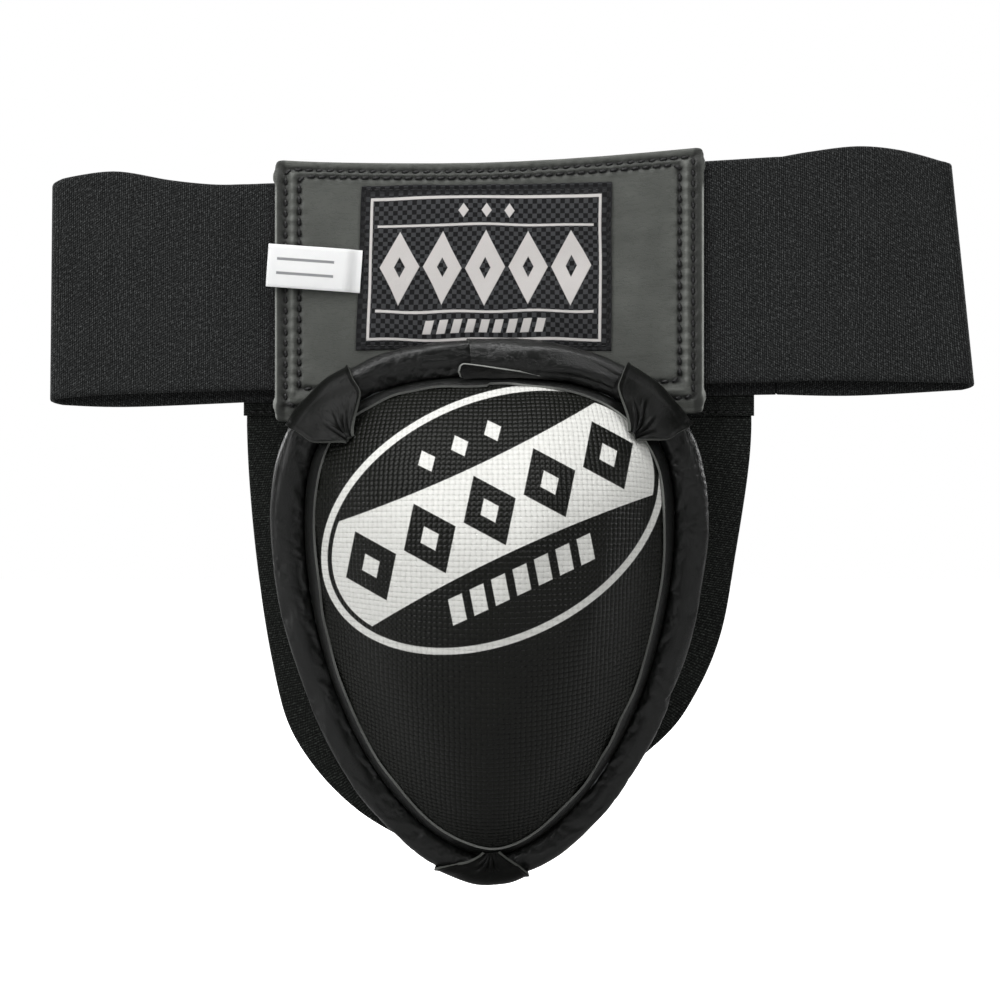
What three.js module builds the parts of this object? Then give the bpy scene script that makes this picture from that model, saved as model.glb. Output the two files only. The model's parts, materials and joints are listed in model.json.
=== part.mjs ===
// Groin protector: a padded steel cup hung by leather loops from the waist panel of an elastic waistband,
// with two elastic leg straps that tie the bottom of the cup to the back of the band.
// Millimetres. X runs to the right as the front is looked at, Y runs from front to back, Z is up.
// The origin is the middle of the waist panel's back face.

import * as THREE from 'three';
import { mergeVertices } from 'three/addons/utils/BufferGeometryUtils.js';

const GAP = 0.3;                 // clearance between pieces that touch or are sewn together
const LEATHER = 1.3;             // thickness of the glove leather
const THREAD = 0.6;              // height that a line of stitching stands proud

// Waist panel
const PANEL_LEFT = -79;
const PANEL_RIGHT = 79;
const PANEL_TOP_LEFT = 47;
const PANEL_TOP_RIGHT = 51.8;
const PANEL_TOP_LOW = 45.9;      // the top edge sags to this height left of the middle
const PANEL_BOTTOM_LEFT = -47.7;
const PANEL_BOTTOM_RIGHT = -44.6;
const PANEL_CORNER = 3;
const PANEL_BACK_THICKNESS = 1.6;
const PANEL_FRONT_THICKNESS = 1.8;
const OUTER_ROW_INSET = 4;       // edge to the outer row of stitches
const INNER_ROW_INSET = 9;       // edge to the inner row of stitches
const ROW_WIDTH = 0.8;

// Label and folded tag
const LABEL_LEFT = -47;
const LABEL_RIGHT = 45;
const LABEL_BOTTOM = -22;
const LABEL_TOP = 38;
const LABEL_THICKNESS = 0.7;
const LABEL_SEAM_INSET = 1.2;
const TAG_LENGTH = 32.7;
const TAG_HEIGHT = 15.8;
const TAG_DEPTH = 1.5;           // both plies and the air between them
const TAG_PLY = 0.5;
const TAG_ROOT_X = -48.8;
const TAG_MIDDLE_Z = 6.7;
const TAG_TILT = 0.07;

// Elastic waistband, laid flat as a front run and a back run that meet at two folds
const BAND_THICKNESS = 2;
const LEFT_FOLD_X = -162;
const RIGHT_FOLD_X = 179;
const RUN_LENGTH = 72;           // fold to hinge line, alike for all four end pieces
const HINGE_GAP = 0.8;           // each side of a hinge line, so the band can bend 60 degrees
const BACK_RUN_Y = 2.9;          // front face of the back run

// Leg straps
const STRAP_THICKNESS = 1.8;
const STRAP_WIDTH = 42;
const STRAP_END_WIDTH = 22;
const HEM_TOP = -33;
const HEM_BOTTOM = -46;
const HEM_EXTRA = 1.6;           // the folded end is one more ply thick

// Cup and rim roll, in the cup's own tilted frame: the rim lies in its XZ plane, Z 0 is CUP_PIVOT_Z
const CUP_FRONT_Y = -16.8;
const CUP_PIVOT_Z = -26;
const CUP_TILT = 0.065;
const RIM_HALF_WIDTH = 79.6;
const RIM_MIDDLE_Z = -58;
const RIM_TOP_HEIGHT = 64;
const RIM_BOTTOM_HEIGHT = 134.4;
const RIM_TOP_POWER = 2.5;       // superellipse powers: squarer at the top, more pointed below
const RIM_BOTTOM_POWER = 1.8;
const ROLL_RADIUS = 6.4;
const ROLL_WALL = 1.2;
const ROLL_CENTRE = -6.5;        // offset of the roll's middle inside the outline
const DOME_OFFSET = -13.3;       // offset of the foot of the dome inside the outline
const DOME_DEPTH = 52;
const DOME_BASE = 1.05;          // the dome starts this far in front of the rim plane
const DOME_APEX_Z = -76;
const DOME_FULLNESS = 0.75;
const STEEL = 1.5;
const LINING = 1.2;
const FLANGE_TIP = -7;
const BINDING = 1;

// Mesh fineness
const ROUND_RIM = 44;
const DOME_STEPS = 8;
const ROLL_STEPS = 8;

const group = new THREE.Group();

function material(color, roughness, metalness = 0) {
  return new THREE.MeshStandardMaterial({ color, roughness, metalness });
}

function leather(color = 0x333331) {
  return material(color, 0.5);
}

function webbing(color = 0x2b2d2c) {
  return material(color, 0.95);
}

function stitching() {
  return material(0x161615, 0.7);
}

function add(name, geometry, look, parent = group) {
  const mesh = new THREE.Mesh(geometry, look);
  mesh.name = name;
  parent.add(mesh);
  return mesh;
}

// ---- Bodies from grids of points ----

function triangleArea(a, b, c) {
  return new THREE.Triangle(a, b, c).getArea();
}

// Merges shared corners, drops triangles that have shrunk to a line and turns the faces outward.
function tidyBody(positions, index) {
  const raw = new THREE.BufferGeometry();
  raw.setAttribute('position', new THREE.Float32BufferAttribute(positions, 3));
  raw.setIndex(index);
  const merged = mergeVertices(raw, 1e-4);
  const corner = (k) => new THREE.Vector3().fromBufferAttribute(merged.attributes.position, k);
  const kept = [];
  let volume = 0;
  for (let k = 0; k < merged.index.count; k += 3) {
    const [i, j, l] = [0, 1, 2].map((step) => merged.index.getX(k + step));
    const [a, b, c] = [i, j, l].map(corner);
    if (triangleArea(a, b, c) < 1e-7) {
      continue;
    }
    kept.push(i, j, l);
    volume += a.dot(b.cross(c));
  }
  merged.setIndex(volume < 0 ? kept.reverse() : kept);
  merged.computeVertexNormals();
  return merged;
}

// A closed body between two equal grids of points. A ring joins its last row to its first.
function bodyBetween(front, back, isRing = false) {
  const rows = front.length;
  const columns = front[0].length;
  const positions = [front, back].flatMap((grid) => grid.flat().flatMap((p) => [p.x, p.y, p.z]));
  const index = [];
  const at = (side, row, column) => side * rows * columns + (row % rows) * columns + column;
  const quad = (a, b, c, d) => index.push(a, b, c, a, c, d);
  const lastRow = isRing ? rows : rows - 1;
  const lastColumn = columns - 1;
  for (let i = 0; i < lastRow; i += 1) {
    for (let j = 0; j < lastColumn; j += 1) {
      quad(at(0, i, j), at(0, i + 1, j), at(0, i + 1, j + 1), at(0, i, j + 1));
      quad(at(1, i, j), at(1, i, j + 1), at(1, i + 1, j + 1), at(1, i + 1, j));
    }
    quad(at(0, i, 0), at(1, i, 0), at(1, i + 1, 0), at(0, i + 1, 0));
    quad(at(0, i, lastColumn), at(0, i + 1, lastColumn), at(1, i + 1, lastColumn), at(1, i, lastColumn));
  }
  if (!isRing) {
    for (let j = 0; j < lastColumn; j += 1) {
      quad(at(0, 0, j), at(0, 0, j + 1), at(1, 0, j + 1), at(1, 0, j));
      quad(at(0, lastRow, j), at(1, lastRow, j), at(1, lastRow, j + 1), at(0, lastRow, j + 1));
    }
  }
  return tidyBody(positions, index);
}

// ---- Flat pieces: outlines in the XZ plane, extruded along Y ----

function extruded(shape, depth) {
  return new THREE.ExtrudeGeometry(shape, { depth, bevelEnabled: false, curveSegments: 6 });
}

// The extruded plate stands between the two Y values.
function plate(shape, frontY, backY) {
  const geometry = extruded(shape, backY - frontY);
  geometry.rotateX(Math.PI / 2);
  geometry.translate(0, backY, 0);
  return geometry;
}

// A polygon whose corners are rounded off by `radius`.
function roundedPolygon(corners, radius, PathType = THREE.Shape) {
  const outline = new PathType();
  corners.forEach((corner, k) => {
    const before = corners[(k + corners.length - 1) % corners.length];
    const after = corners[(k + 1) % corners.length];
    const start = corner.clone().add(before.clone().sub(corner).setLength(radius));
    const end = corner.clone().add(after.clone().sub(corner).setLength(radius));
    if (k === 0) {
      outline.moveTo(start.x, start.y);
    } else {
      outline.lineTo(start.x, start.y);
    }
    outline.quadraticCurveTo(corner.x, corner.y, end.x, end.y);
  });
  outline.closePath();
  return outline;
}

function insetCorners(corners, inset) {
  const middle = new THREE.Vector2();
  corners.forEach((corner) => middle.addScaledVector(corner, 1 / corners.length));
  return corners.map((corner) => {
    const away = corner.clone().sub(middle);
    return new THREE.Vector2(corner.x - Math.sign(away.x) * inset, corner.y - Math.sign(away.y) * inset);
  });
}

// A closed row of stitches, as a raised ridge that follows a polygon at a given inset.
function stitchRing(corners, inset, radius, frontY, backY) {
  const shape = roundedPolygon(insetCorners(corners, inset - ROW_WIDTH / 2), radius);
  shape.holes.push(roundedPolygon(insetCorners(corners, inset + ROW_WIDTH / 2), radius, THREE.Path));
  return plate(shape, frontY, backY);
}

const panelCorners = [
  new THREE.Vector2(PANEL_LEFT, PANEL_BOTTOM_LEFT),
  new THREE.Vector2(PANEL_RIGHT, PANEL_BOTTOM_RIGHT),
  new THREE.Vector2(PANEL_RIGHT, PANEL_TOP_RIGHT),
  new THREE.Vector2(PANEL_LEFT, PANEL_TOP_LEFT),
];

// The panel's outline, with a top edge that sags and then climbs to the right.
function panelShape() {
  const corner = PANEL_CORNER;
  const shape = new THREE.Shape();
  shape.moveTo(PANEL_LEFT, PANEL_BOTTOM_LEFT + corner);
  shape.quadraticCurveTo(PANEL_LEFT, PANEL_BOTTOM_LEFT, PANEL_LEFT + corner, PANEL_BOTTOM_LEFT);
  shape.lineTo(PANEL_RIGHT - corner, PANEL_BOTTOM_RIGHT);
  shape.quadraticCurveTo(PANEL_RIGHT, PANEL_BOTTOM_RIGHT, PANEL_RIGHT, PANEL_BOTTOM_RIGHT + corner);
  shape.lineTo(PANEL_RIGHT, PANEL_TOP_RIGHT - corner);
  shape.quadraticCurveTo(PANEL_RIGHT, PANEL_TOP_RIGHT, PANEL_RIGHT - corner, PANEL_TOP_RIGHT - 0.2);
  shape.bezierCurveTo(40, PANEL_TOP_LOW + 2.2, 10, PANEL_TOP_LOW, -20, PANEL_TOP_LOW);
  shape.quadraticCurveTo(-60, PANEL_TOP_LOW, PANEL_LEFT + corner, PANEL_TOP_LEFT);
  shape.quadraticCurveTo(PANEL_LEFT, PANEL_TOP_LEFT, PANEL_LEFT, PANEL_TOP_LEFT - corner);
  shape.closePath();
  return shape;
}

// Faces of the panel's layers, counted forward from the back face at Y 0.
const panelBackFront = -PANEL_BACK_THICKNESS;
const bandBack = panelBackFront - GAP;
const bandFront = bandBack - BAND_THICKNESS;
const panelFrontBack = bandFront - GAP;
const panelFace = panelFrontBack - PANEL_FRONT_THICKNESS;
const onPanel = panelFace - GAP;

function addWaistPanel() {
  add('waist_panel_back', plate(panelShape(), panelBackFront, 0), leather(0x4a4a48));
  add('waist_panel_front', plate(panelShape(), panelFace, panelFrontBack), leather(0x535452));
  const rows = [['panel_thread_outer', OUTER_ROW_INSET, 2], ['panel_thread_inner', INNER_ROW_INSET, 1.5]];
  for (const [name, inset, radius] of rows) {
    add(name, stitchRing(panelCorners, inset, radius, onPanel - THREAD, onPanel), stitching());
  }
}

function addLabel() {
  const corners = [
    new THREE.Vector2(LABEL_LEFT, LABEL_BOTTOM),
    new THREE.Vector2(LABEL_RIGHT, LABEL_BOTTOM),
    new THREE.Vector2(LABEL_RIGHT, LABEL_TOP),
    new THREE.Vector2(LABEL_LEFT, LABEL_TOP),
  ];
  const labelFace = onPanel - LABEL_THICKNESS;
  add('woven_label', plate(roundedPolygon(corners, 0.8), labelFace, onPanel), webbing(0x1b1b1c));
  const seamBack = labelFace - GAP;
  const seam = stitchRing(corners, LABEL_SEAM_INSET, 0.8, seamBack - THREAD / 2, seamBack);
  add('label_thread', seam, stitching());
}

// The tag is a strip folded end on end; both ends are sewn down at its root.
function addFoldedTag() {
  const outer = TAG_DEPTH / 2;
  const inner = outer - TAG_PLY;
  const foldX = -TAG_LENGTH + outer;
  const profile = new THREE.Shape();
  profile.moveTo(0, outer);
  profile.lineTo(foldX, outer);
  profile.absarc(foldX, 0, outer, Math.PI / 2, 1.5 * Math.PI, false);
  profile.lineTo(0, -outer);
  profile.lineTo(0, -inner);
  profile.lineTo(foldX, -inner);
  profile.absarc(foldX, 0, inner, 1.5 * Math.PI, Math.PI / 2, true);
  profile.lineTo(0, inner);
  profile.closePath();
  const geometry = extruded(profile, TAG_HEIGHT);
  geometry.translate(0, 0, -TAG_HEIGHT / 2);
  const tag = add('folded_tag', geometry, material(0xf2f2f0, 0.8));
  tag.position.set(TAG_ROOT_X, onPanel - THREAD - GAP - outer, TAG_MIDDLE_Z);
  tag.rotation.y = TAG_TILT;
}

// ---- Waistband ----

// A stretch of band between a top edge and a bottom edge, both given from left to right.
function bandShape(topEdge, bottomEdge) {
  const points = (edge) => edge.map(([x, z]) => new THREE.Vector2(x, z));
  const shape = new THREE.Shape();
  const bottom = points(bottomEdge);
  const top = points(topEdge).reverse();
  shape.moveTo(bottom[0].x, bottom[0].y);
  shape.splineThru(bottom.slice(1));
  shape.lineTo(top[0].x, top[0].y);
  shape.splineThru(top.slice(1));
  shape.closePath();
  return shape;
}

const leftHingeX = LEFT_FOLD_X + RUN_LENGTH;
const rightHingeX = RIGHT_FOLD_X - RUN_LENGTH;
const backRunBack = BACK_RUN_Y + BAND_THICKNESS;

function addFrontRun() {
  const middle = bandShape(
    [[leftHingeX + HINGE_GAP, 38.3], [0, 42], [rightHingeX - HINGE_GAP, 48.4]],
    [[leftHingeX + HINGE_GAP, -36], [0, -35], [rightHingeX - HINGE_GAP, -33]],
  );
  const leftWing = bandShape(
    [[-161, 38.3], [-156, 40.7], [-138, 43], [-118, 39.8], [-102, 38.2], [leftHingeX - HINGE_GAP, 38.3]],
    [[-161.2, -39.4], [-141, -37.7], [leftHingeX - HINGE_GAP, -36]],
  );
  const rightWing = bandShape(
    [[rightHingeX + HINGE_GAP, 48.4], [119, 50.4], [136, 52.3], [152, 50.8], [168.7, 46.3]],
    [[rightHingeX + HINGE_GAP, -33], [126, -32.4], [178, -33.4]],
  );
  add('waistband_front', plate(middle, bandFront, bandBack), webbing());
  add('waistband_left_wing', plate(leftWing, bandFront, bandBack), webbing());
  add('waistband_right_wing', plate(rightWing, bandFront, bandBack), webbing());
}

function addBackRun() {
  const middle = bandShape(
    [[leftHingeX + HINGE_GAP, 36.5], [0, 39.5], [rightHingeX - HINGE_GAP, 43]],
    [[leftHingeX + HINGE_GAP, -40.4], [0, -39], [rightHingeX - HINGE_GAP, -37.5]],
  );
  const leftSide = bandShape(
    [[-161, 36], [leftHingeX - HINGE_GAP, 36.5]],
    [[-161.2, -41.2], [-135, -42.1], [leftHingeX - HINGE_GAP, -40.4]],
  );
  const rightSide = bandShape(
    [[rightHingeX + HINGE_GAP, 43], [168.7, 45]],
    [[rightHingeX + HINGE_GAP, -37.5], [136, -37.9], [178, -35.6]],
  );
  add('waistband_back', plate(middle, BACK_RUN_Y, backRunBack), webbing());
  add('waistband_left_side', plate(leftSide, BACK_RUN_Y, backRunBack), webbing());
  add('waistband_right_side', plate(rightSide, BACK_RUN_Y, backRunBack), webbing());
}

// ---- Leg straps ----

const strapFront = backRunBack + GAP;

// Centre lines, from the hem down behind the cup to the bottom tab. The right strap bends sooner.
const leftStrapLine = [
  [-69, HEM_TOP], [-68, -65], [-65, -98], [-60, -131], [-53, -158], [-39, -184], [-15, -205],
];
const rightStrapLine = [
  [76, HEM_TOP], [75.2, -60], [70, -95], [65, -122], [56, -142], [42, -162], [15, -203],
];

function addLegStrap(side, waypoints) {
  const line = new THREE.CatmullRomCurve3(waypoints.map(([x, z]) => new THREE.Vector3(x, 0, z)));
  const steps = 18;
  const hemSteps = 2;
  const front = [];
  const back = [];
  for (let i = 0; i <= steps; i += 1) {
    const t = i / steps;
    const middle = line.getPointAt(t);
    const across = new THREE.Vector3(0, 1, 0).cross(line.getTangentAt(t)).normalize();
    const narrowing = THREE.MathUtils.smoothstep(t, 0.68, 1);
    const halfWidth = THREE.MathUtils.lerp(STRAP_WIDTH, STRAP_END_WIDTH, narrowing) / 2;
    const thickness = STRAP_THICKNESS + (i < hemSteps ? HEM_EXTRA : 0);
    const edges = [-halfWidth, halfWidth].map((reach) => middle.clone().addScaledVector(across, reach));
    front.push(edges.map((edge) => edge.clone().setY(strapFront)));
    back.push(edges.map((edge) => edge.clone().setY(strapFront + thickness)));
  }
  add(`${side}_leg_strap`, bodyBetween(front, back), webbing(0x222422));
  const thread = add(
    `${side}_strap_thread`,
    new THREE.BoxGeometry(STRAP_WIDTH - 3, THREAD, ROW_WIDTH),
    stitching(),
  );
  thread.position.set(waypoints[0][0], strapFront - GAP - THREAD / 2, HEM_BOTTOM + 1);
}

// ---- Cup ----

const cup = new THREE.Group();
cup.position.set(0, CUP_FRONT_Y, CUP_PIVOT_Z);
cup.rotation.x = CUP_TILT;
group.add(cup);

// The rim's outer outline: a superellipse above its widest line and another below.
function rimOutline() {
  const points = [];
  const fineness = 240;
  for (let k = 0; k < fineness; k += 1) {
    const angle = Math.PI / 2 - (2 * Math.PI * k) / fineness;
    const above = Math.sin(angle) >= 0;
    const power = 2 / (above ? RIM_TOP_POWER : RIM_BOTTOM_POWER);
    const height = above ? RIM_TOP_HEIGHT : RIM_BOTTOM_HEIGHT;
    const bend = (value) => Math.sign(value) * Math.abs(value) ** power;
    points.push(new THREE.Vector3(
      RIM_HALF_WIDTH * bend(Math.cos(angle)),
      0,
      RIM_MIDDLE_Z + height * bend(Math.sin(angle)),
    ));
  }
  return new THREE.CatmullRomCurve3(points, true);
}

const rim = rimOutline();
const rimLength = rim.getLength();
const apex = new THREE.Vector3(0, 0, DOME_APEX_Z);

// A point beside the rim's outline: `offset` outward from it and `depth` behind the rim plane.
// `place` runs once round the rim from 0 to 1, clockwise from the top as the front is looked at.
function besideRim(place, offset, depth) {
  const wrapped = ((place % 1) + 1) % 1;
  const outward = rim.getTangentAt(wrapped).cross(new THREE.Vector3(0, 1, 0)).normalize();
  return rim.getPointAt(wrapped).addScaledVector(outward, offset).setY(depth);
}

// A point on the dome, or on a shell `shrink` inside it; `reach` is 0 at the apex and 1 at the foot.
function onDome(place, reach, shrink, base = DOME_BASE) {
  const foot = besideRim(place, DOME_OFFSET - shrink, 0);
  const point = apex.clone().lerp(foot, reach);
  const height = (DOME_DEPTH - shrink) * (1 - reach ** 2) ** DOME_FULLNESS;
  return point.setY(-base - height);
}

// A point on a round tube about the roll's centre line; angle 0 is outward, a quarter turn is the front.
function onRoll(place, angle, radius) {
  return besideRim(place, ROLL_CENTRE + radius * Math.cos(angle), -radius * Math.sin(angle));
}

function ringGrid(pointsAt) {
  return Array.from({ length: ROUND_RIM }, (_, k) => pointsAt(k / ROUND_RIM));
}

// Reaches from the apex to the foot, closer together near the foot where the dome is steep.
function domeReaches() {
  return Array.from({ length: DOME_STEPS + 1 }, (_, k) => Math.sin((k / DOME_STEPS) * Math.PI / 2));
}

function domeLine(place, shrink, base) {
  return domeReaches().map((reach) => onDome(place, reach, shrink, base));
}

// The dome with a flat flange whose tip lies in the middle of the roll.
function addSteelCup() {
  const half = STEEL / 2;
  const outside = LEATHER + GAP;
  const inside = outside + STEEL;
  const front = ringGrid((place) => [
    ...domeLine(place, outside, half),
    besideRim(place, FLANGE_TIP, -half),
  ]);
  const back = ringGrid((place) => [
    ...domeLine(place, inside, -half),
    besideRim(place, FLANGE_TIP, half),
  ]);
  add('steel_cup', bodyBetween(front, back, true), material(0xb9bcc0, 0.35, 1), cup);
}

function addCupCover() {
  const front = ringGrid((place) => domeLine(place, 0, DOME_BASE));
  const back = ringGrid((place) => domeLine(place, LEATHER, DOME_BASE));
  add('cup_cover', bodyBetween(front, back, true), leather(0x1d1f1b), cup);
}

// The lining follows the inside of the steel and turns outward behind the flange.
function addCupLining() {
  const outside = LEATHER + STEEL + 2 * GAP;
  const flangeFront = DOME_BASE;
  const flangeBack = flangeFront + LINING;
  const front = ringGrid((place) => [
    ...domeLine(place, outside, -flangeFront),
    besideRim(place, DOME_OFFSET - GAP, flangeFront),
  ]);
  const back = ringGrid((place) => [
    ...domeLine(place, outside + LINING, -flangeBack),
    besideRim(place, DOME_OFFSET - GAP, flangeBack),
  ]);
  add('cup_lining', bodyBetween(front, back, true), leather(0x242423), cup);
}

function arcAngles(opening, steps) {
  const last = Math.PI - opening;
  return Array.from({ length: steps + 1 }, (_, k) => THREE.MathUtils.lerp(-last, last, k / steps));
}

// The foam core, slotted from its inner side for the steel flange.
function addRimFoam() {
  const radius = ROLL_RADIUS - ROLL_WALL - GAP;
  const slot = STEEL / 2 + GAP;
  const opening = Math.asin(slot / radius);
  const angles = arcAngles(opening, ROLL_STEPS);
  const slotEnd = FLANGE_TIP + GAP;
  const mouth = ROLL_CENTRE - radius * Math.cos(opening);
  const slotPoint = (place, k) => {
    const run = (2 * k) / ROLL_STEPS - 1;
    const offset = THREE.MathUtils.lerp(slotEnd, mouth, Math.max(0, Math.abs(run) * 1.25 - 0.25));
    return besideRim(place, offset, run < 0 ? slot : -slot);
  };
  const outer = ringGrid((place) => angles.map((angle) => onRoll(place, angle, radius)));
  const inner = ringGrid((place) => angles.map((_, k) => slotPoint(place, k)));
  add('rim_foam', bodyBetween(outer, inner, true), material(0x3a3a3a, 1), cup);
}

// The leather tube round the foam, open along its inner side.
function addRimRoll() {
  const inside = ROLL_RADIUS - ROLL_WALL;
  const angles = arcAngles(Math.asin((STEEL / 2 + 2 * GAP) / inside), ROLL_STEPS);
  const outer = ringGrid((place) => angles.map((angle) => onRoll(place, angle, ROLL_RADIUS)));
  const inner = ringGrid((place) => angles.map((angle) => onRoll(place, angle, inside)));
  add('rim_roll', bodyBetween(outer, inner, true), leather(), cup);
}

// A strip on the dome's foot in front and a flat strip over the lining's edge behind.
function addRimBindings() {
  const reaches = [0.935, 0.96, 0.98];
  const face = (lift) => ringGrid((place) => reaches.map((reach) => onDome(place, reach, -lift)));
  const front = bodyBetween(face(GAP + BINDING), face(GAP), true);
  add('rim_front_binding', front, leather(0x2c2c2a), cup);
  const offsets = [ROLL_CENTRE - 10.1, ROLL_CENTRE - 6.1];
  const strip = (depth) => ringGrid((place) => offsets.map((offset) => besideRim(place, offset, depth)));
  const backDepth = DOME_BASE + LINING + GAP;
  const back = bodyBetween(strip(backDepth), strip(backDepth + BINDING), true);
  add('rim_back_binding', back, leather(0x2c2c2a), cup);
}

// A piece of leather wrapped round the roll. It spans `angles`, from the inner seam in front, round the
// outside, to the back, where an optional flat tail runs in behind the roll.
function rollWrap({ middle, frontWidth, backWidth, drift = 0, lastAngle, tail = 0 }) {
  const firstAngle = 2.25;
  const turns = 9;
  const acrossSteps = 6;
  const inside = ROLL_RADIUS + 2 * GAP;
  const outside = inside + LEATHER;
  const face = (radius) => Array.from({ length: acrossSteps + 1 }, (_, i) => {
    const side = (2 * i) / acrossSteps - 1;
    const line = Array.from({ length: turns + 1 }, (__, j) => {
      const angle = THREE.MathUtils.lerp(firstAngle, lastAngle, j / turns);
      const spread = THREE.MathUtils.smoothstep(-angle, -firstAngle, -0.4);
      const width = THREE.MathUtils.lerp(frontWidth, backWidth, spread);
      const place = (middle + drift * spread + (side * width) / 2) / rimLength;
      return onRoll(place, angle, radius);
    });
    if (tail > 0) {
      const place = (middle + drift + (side * backWidth) / 2) / rimLength;
      line.push(besideRim(place, ROLL_CENTRE - tail, radius));
    }
    return line;
  });
  return bodyBetween(face(outside), face(inside));
}

function addWraps() {
  const lap = rollWrap({ middle: 10, frontWidth: 36, backWidth: 36, lastAngle: -2.5 });
  add('top_overlap_wrap', lap, leather(0x2e302e), cup);
  const loop = { frontWidth: 9, backWidth: 32, lastAngle: -Math.PI / 2, tail: 7 };
  add('left_loop', rollWrap({ ...loop, middle: -70 }), leather(0x353532), cup);
  add('right_loop', rollWrap({ ...loop, middle: 70 }), leather(0x353532), cup);
  const bottom = { frontWidth: 10, backWidth: 35, lastAngle: -Math.PI / 2, tail: 7 };
  add('bottom_tab', rollWrap({ ...bottom, middle: rimLength / 2, drift: 3 }), leather(0x353532), cup);
}

addWaistPanel();
addLabel();
addFoldedTag();
addFrontRun();
addBackRun();
addLegStrap('left', leftStrapLine);
addLegStrap('right', rightStrapLine);
addSteelCup();
addCupCover();
addCupLining();
addRimFoam();
addRimRoll();
addRimBindings();
addWraps();

export default group;
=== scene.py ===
import functools
import json
import math

import bpy
import numpy as np
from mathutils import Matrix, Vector


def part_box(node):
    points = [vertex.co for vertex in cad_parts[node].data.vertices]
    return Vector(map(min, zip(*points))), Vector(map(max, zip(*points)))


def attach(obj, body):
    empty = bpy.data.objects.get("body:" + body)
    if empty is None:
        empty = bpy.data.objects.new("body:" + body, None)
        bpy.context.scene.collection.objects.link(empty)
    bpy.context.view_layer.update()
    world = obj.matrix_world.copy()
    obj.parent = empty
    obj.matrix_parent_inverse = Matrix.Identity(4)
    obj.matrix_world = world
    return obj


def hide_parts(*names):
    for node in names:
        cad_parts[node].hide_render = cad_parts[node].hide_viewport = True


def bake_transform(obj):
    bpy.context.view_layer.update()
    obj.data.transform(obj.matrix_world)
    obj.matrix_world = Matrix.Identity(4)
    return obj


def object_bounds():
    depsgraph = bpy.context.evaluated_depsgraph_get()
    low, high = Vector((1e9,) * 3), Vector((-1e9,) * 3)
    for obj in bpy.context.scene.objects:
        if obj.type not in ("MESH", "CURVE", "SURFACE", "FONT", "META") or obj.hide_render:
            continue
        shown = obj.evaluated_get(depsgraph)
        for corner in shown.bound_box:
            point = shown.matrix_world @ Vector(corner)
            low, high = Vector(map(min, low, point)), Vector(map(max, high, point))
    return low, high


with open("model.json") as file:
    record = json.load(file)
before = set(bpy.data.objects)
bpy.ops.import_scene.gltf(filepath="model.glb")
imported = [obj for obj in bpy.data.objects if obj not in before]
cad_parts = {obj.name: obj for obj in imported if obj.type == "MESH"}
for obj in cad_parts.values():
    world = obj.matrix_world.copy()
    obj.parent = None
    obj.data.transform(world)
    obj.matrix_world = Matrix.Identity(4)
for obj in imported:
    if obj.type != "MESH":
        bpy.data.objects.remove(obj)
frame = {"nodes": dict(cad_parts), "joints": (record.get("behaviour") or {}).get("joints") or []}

# Groin protector: leather, webbing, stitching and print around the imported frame. Metres; MM turns millimetres
# into them. X is to the right from the front, Y runs from front to back, Z is up.

cad_box = [list(corner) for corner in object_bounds()]
MM = 0.001
EDGE_STEP = 0.3 * MM          # length on the cloth map of one step round a rounded edge


# ---- Numbers and noise ----

def unit(vectors):
    return vectors / np.maximum(np.linalg.norm(vectors, axis=-1, keepdims=True), 1e-12)


def smooth(value, low, high):
    """0 below low, 1 above high, and a smooth step between them. high may be the lower one."""
    t = np.clip((value - low) / (high - low), 0, 1)
    return t * t * (3 - 2 * t)


def dip(distance, width):
    """A bell that is 1 at distance 0 and about a third at one width."""
    return np.exp(-((distance / width) ** 2))


def ripples(seed, wavelength, *coordinates, waves=7):
    """Smooth noise, mostly between -1 and 1: sine waves in scattered directions."""
    random = np.random.default_rng(seed)
    total = 0
    for _ in range(waves):
        heading = random.normal(size=len(coordinates))
        heading /= np.linalg.norm(heading)
        pace = 2 * math.pi / (wavelength * random.uniform(0.7, 1.5))
        phase = random.uniform(0, 2 * math.pi)
        total = total + np.sin(pace * sum(h * c for h, c in zip(heading, coordinates)) + phase)
    return total / math.sqrt(waves)


def lengths_along(points):
    """Running length along a line of points."""
    steps = np.linalg.norm(np.diff(points, axis=0), axis=-1)
    return np.concatenate([[0], np.cumsum(steps)])


# ---- Meshes ----

def add_mesh(name, points, faces, materials=(), uvs=None, slots=None):
    """A mesh object with smooth faces. uvs holds one pair of lengths per face corner."""
    mesh = bpy.data.meshes.new(name)
    mesh.from_pydata(np.reshape(points, (-1, 3)).tolist(), [], faces)
    if uvs is not None:
        mesh.uv_layers.new(name="cloth").data.foreach_set("uv", np.array(uvs, np.float32).ravel())
    mesh.polygons.foreach_set("use_smooth", np.ones(len(faces), bool))
    if slots is not None:
        mesh.polygons.foreach_set("material_index", np.array(slots, np.int32))
    for material in materials:
        mesh.materials.append(material)
    mesh.update()
    piece = bpy.data.objects.new(name, mesh)
    bpy.context.scene.collection.objects.link(piece)
    return piece


def place_piece(piece, slot, body, *replaced):
    """Attaches a piece to the body that carries it and hides the CAD nodes that it stands for; slot is not
    used.
    """
    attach(piece, body)
    if replaced:
        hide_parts(*replaced)


def ring_faces(rows, count, bands):
    """Quads between rows of points that are closed round each row, as vertex numbers."""
    index = np.arange(rows * count).reshape(rows, count)
    here = index[:bands]
    ahead = np.roll(index, -1, axis=0)[:bands]
    return np.stack([here, ahead, np.roll(ahead, -1, 1), np.roll(here, -1, 1)], -1).reshape(-1, 4).tolist()


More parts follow.
